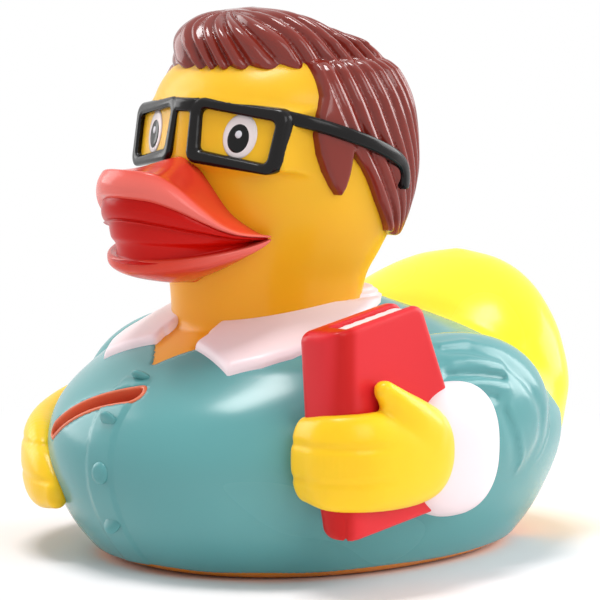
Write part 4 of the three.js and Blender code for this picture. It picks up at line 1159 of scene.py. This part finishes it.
class DUCK_OT_eyes(Build, bpy.types.Operator):
    """Makes the whites, pupils and glints of the eyes"""

    bl_idname = "duck.eyes"
    bl_label = "Eyes"

    def build(self, sizes, colours):
        relief = sizes.rim_relief / MM
        white = vinyl("eye_white_paint", (0.93, 0.9, 0.89), (0.88, 0.83, 0.83), roughness=(0.2, 0.3))
        black = vinyl("pupil_paint", (0.03, 0.025, 0.025), (0.02, 0.02, 0.02), roughness=(0.12, 0.2))
        dot = vinyl("glint_paint", (0.86, 0.86, 0.88), (0.8, 0.8, 0.83), roughness=(0.2, 0.3))
        for paint, (name, shift, width, height, lift) in zip((white, black, dot), EYE_LAYERS):
            centre = (EYE_CENTRE[0] + shift[0], EYE_CENTRE[1] + shift[1])
            nets = [eye_disc(side, centre, width, height, lift, relief) for side in (1, -1)]
            add_piece(name, merged(nets), paint)


def grooves(p, levels, start_y, depth):
    """Faint level grooves between the fingers."""
    fade = smooth_step(-start_y, -start_y + 6, -p[:, 1])
    return depth * fade * sum(np.exp(-((p[:, 2] - level) / 0.55) ** 2) for level in levels)


def book_hand_field(p):
    """Hand wrapped over the cover and the spine, with the thumb on top."""
    return union(limb_field(p, BOOK_HAND), limb_field(p, THUMB), 1.2) + grooves(p, (17.2, 22.2), -17, 0.2)


def breast_hand_field(p):
    """Far hand, laid along the breast."""
    q = p * np.array([-1, 1, 1])
    return limb_field(q, BREAST_HAND) + grooves(q, (12.4, 17.2), -16, 0.2)


def cuff_field(p, side):
    """Cuff: a plump band round the wrist."""
    away = (p * np.array([side, 1, 1]) - np.array(CUFF_CENTRE)) / np.array(CUFF_HALF)
    return ((np.abs(away) ** 2.4).sum(1) ** (1 / 2.4) - 1) * 6


class DUCK_OT_hands(Build, bpy.types.Operator):
    """Makes both hands and their cuffs"""

    bl_idname = "duck.hands"
    bl_label = "Hands and Cuffs"

    def build(self, sizes, colours):
        skin = vinyl("hand_vinyl", colours.hands, (0.98, 0.77, 0.11), glow=0.2, roughness=(0.26, 0.34))
        add_skin("book_hand", even(book_hand_field), skin)
        add_skin("breast_hand", even(breast_hand_field), skin)
        linen = vinyl("cuff_paint", colours.linen, (0.95, 0.88, 0.895), roughness=(0.28, 0.38))
        for name, side in (("book_cuff", 1), ("breast_cuff", -1)):
            add_skin(name, even(lambda p: cuff_field(p, side)), linen)


def spine_painted_shade(material, colour):
    """Painted shade: deeper red in a soft band where the spine turns into the cover, for the shade where the
    rounded edge reflects little light.
    """
    tree = material.node_tree
    where = add_node(tree, "ShaderNodeTexCoord").outputs["Object"]
    split = add_node(tree, "ShaderNodeSeparateXYZ", {"Vector": where})
    edges = [faded(tree, split.outputs["Y"], start * MM, full * MM, "SMOOTHSTEP")
             for start, full in SPINE_SHADE_BAND]
    band = add_node(tree, "ShaderNodeMath", dict(enumerate(edges)), operation="MULTIPLY")
    repaint(material, band.outputs[0], colour)


class DUCK_OT_book(Build, bpy.types.Operator):
    """Makes the book: two boards and a spine round a block of pages"""

    bl_idname = "duck.book"
    bl_label = "Book"

    def build(self, sizes, colours):

        def field(p):
            outline = rounded_outline(p[:, 1], p[:, 2], COVER_OUTLINE, 2.0)
            cover = p[:, 0] - BOOK_COVER_X
            back = BOOK_COVER_X - BOOK_THICKNESS + 2.6 * smooth_step(-23, -9, -p[:, 2]) - p[:, 0]
            spine = -27.2 + 0.072 * (38.4 - p[:, 2]) - p[:, 1]
            block = common(common(outline, back, 3.0), cover, 1.0)
            block = common(block, common(cover, spine, 5.0), 0.5)
            room = np.maximum(np.abs(p[:, 0] - PAGES_X) - PAGES_HALF, -23.6 - p[:, 1])
            return common(block, -np.maximum(room, -outline - 3), 0.3)

        red = vinyl("book_paint", colours.book, (0.83, 0.135, 0.165), roughness=(0.28, 0.38))
        # Painted shade: deeper red along the rounded edge of the spine
        spine_painted_shade(red, (0.76, 0.04, 0.03))
        add_skin("book_cover", field, red)

        def pages(p):
            outline = rounded_outline(p[:, 1], p[:, 2], COVER_OUTLINE, 2.0) + 0.6
            block = common(outline, np.abs(p[:, 0] - PAGES_X) - PAGES_HALF - 0.05, 0.2)
            return np.maximum(block, -23.8 - p[:, 1])

        white = vinyl("page_paint", colours.pages, (0.93, 0.88, 0.87), roughness=(0.35, 0.45))
        add_skin("book_pages", pages, white)


class DUCK_OT_squeaker(Build, bpy.types.Operator):
    """Gives the squeaker in the base its plain plastic"""

    bl_idname = "duck.squeaker"
    bl_label = "Squeaker"

    def build(self, sizes, colours):
        plastic = vinyl("squeaker_plastic_natural", (0.93, 0.91, 0.86), (0.88, 0.85, 0.79),
                        roughness=(0.35, 0.45), glow=0.15, coat=0.0)
        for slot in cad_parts["squeaker"].material_slots:
            slot.material = plastic


def area_light(name, place, size, power):
    lamp = bpy.data.lights.new(name, "AREA")
    lamp.shape = "RECTANGLE"
    lamp.size, lamp.size_y = size
    lamp.energy = power
    holder = bpy.data.objects.new(name, lamp)
    holder.location = place
    holder.rotation_euler = (Vector(LAMP_AIM) - Vector(place)).to_track_quat("-Z", "Y").to_euler()
    bpy.context.collection.objects.link(holder)


def white_for_camera(tree, plain, bright, out):
    """Shows the bright shader to the camera and in reflections, and lights with the plain one."""
    path = add_node(tree, "ShaderNodeLightPath")
    seen = path.outputs["Is Camera Ray"]
    for kind in ("Is Glossy Ray", "Is Transmission Ray"):
        either = add_node(tree, "ShaderNodeMath", {0: seen, 1: path.outputs[kind]}, operation="MAXIMUM")
        seen = either.outputs[0]
    mix = add_node(tree, "ShaderNodeMixShader", {0: seen, 1: plain, 2: bright})
    tree.links.new(mix.outputs[0], out)


class DUCK_OT_stage(Build, bpy.types.Operator):
    """Sets the pale floor, the soft light and the camera of the photograph"""

    bl_idname = "duck.stage"
    bl_label = "Stage"

    def build(self, sizes, colours):
        scene = bpy.context.scene
        scene.view_settings.view_transform = "Standard"
        lens = bpy.data.cameras.new("camera")
        lens.angle = math.radians(CAMERA_DEGREES)
        lens.clip_start = 0.05
        camera = bpy.data.objects.new("camera", lens)
        camera.location = CAMERA_PLACE
        aim = Vector(CAMERA_AIM) - camera.location
        camera.rotation_euler = aim.to_track_quat("-Z", "Y").to_euler()
        bpy.context.collection.objects.link(camera)
        scene.camera = camera

        half = FLOOR_HALF
        mesh = bpy.data.meshes.new("floor")
        mesh.from_pydata([(-half, -half, 0), (half, -half, 0), (half, half, 0), (-half, half, 0)], [],
                         [(0, 1, 2, 3)])
        floor = bpy.data.objects.new("floor", mesh)
        bpy.context.collection.objects.link(floor)
        ground = bpy.data.materials.new("pale_floor")
        ground.use_nodes = True
        tree = ground.node_tree
        tree.nodes.remove(tree.nodes["Principled BSDF"])
        matte = add_node(tree, "ShaderNodeBsdfDiffuse", {"Color": FLOOR_COLOUR}).outputs[0]
        white = add_node(tree, "ShaderNodeEmission").outputs[0]
        where = add_node(tree, "ShaderNodeTexCoord").outputs["Object"]
        reach = add_node(tree, "ShaderNodeVectorMath", {0: where}, operation="LENGTH").outputs["Value"]
        both = add_node(tree, "ShaderNodeMixShader", {
            0: faded(tree, reach, *FLOOR_FADE, "SMOOTHSTEP"), 1: matte, 2: white})
        white_for_camera(tree, matte, both.outputs[0], tree.nodes["Material Output"].inputs["Surface"])
        mesh.materials.append(ground)

        world = bpy.data.worlds.new("studio")
        scene.world = world
        world.use_nodes = True
        tree = world.node_tree
        plain = tree.nodes["Background"]
        feed(tree, plain, {"Color": SKY_COLOUR, "Strength": SKY_STRENGTH})
        bright = add_node(tree, "ShaderNodeBackground", {"Color": (1, 1, 1, 1), "Strength": 1.0})
        out = tree.nodes["World Output"].inputs["Surface"]
        white_for_camera(tree, plain.outputs[0], bright.outputs[0], out)
        for name, place, size, power in LAMPS:
            area_light(name, place, size, power)


OPERATORS = (DUCK_OT_body, DUCK_OT_shirt, DUCK_OT_buttons, DUCK_OT_head, DUCK_OT_bill, DUCK_OT_hair,
             DUCK_OT_glasses, DUCK_OT_eyes, DUCK_OT_hands, DUCK_OT_book, DUCK_OT_squeaker, DUCK_OT_stage)


class DUCK_PT_panel(bpy.types.Panel):
    bl_label = "Rubber Duck"
    bl_idname = "DUCK_PT_panel"
    bl_space_type = "VIEW_3D"
    bl_region_type = "UI"
    bl_category = "Duck"

    def draw(self, context):
        layout = self.layout
        for group in (context.scene.duck_sizes, context.scene.duck_colours):
            box = layout.box()
            for name in group.bl_rna.properties.keys():
                if name not in {"rna_type", "name"}:
                    box.prop(group, name)
        for operator in OPERATORS:
            layout.operator(operator.bl_idname)


CLASSES = (DuckSizes, DuckColours) + OPERATORS + (DUCK_PT_panel,)


def register():
    for cls in CLASSES:
        bpy.utils.register_class(cls)
    bpy.types.Scene.duck_sizes = bpy.props.PointerProperty(type=DuckSizes)
    bpy.types.Scene.duck_colours = bpy.props.PointerProperty(type=DuckColours)


def unregister():
    del bpy.types.Scene.duck_colours
    del bpy.types.Scene.duck_sizes
    for cls in reversed(CLASSES):
        bpy.utils.unregister_class(cls)


def main():
    register()
    for operator in OPERATORS:
        getattr(bpy.ops.duck, operator.bl_idname.partition(".")[2])()


if __name__ == "__main__":
    main()
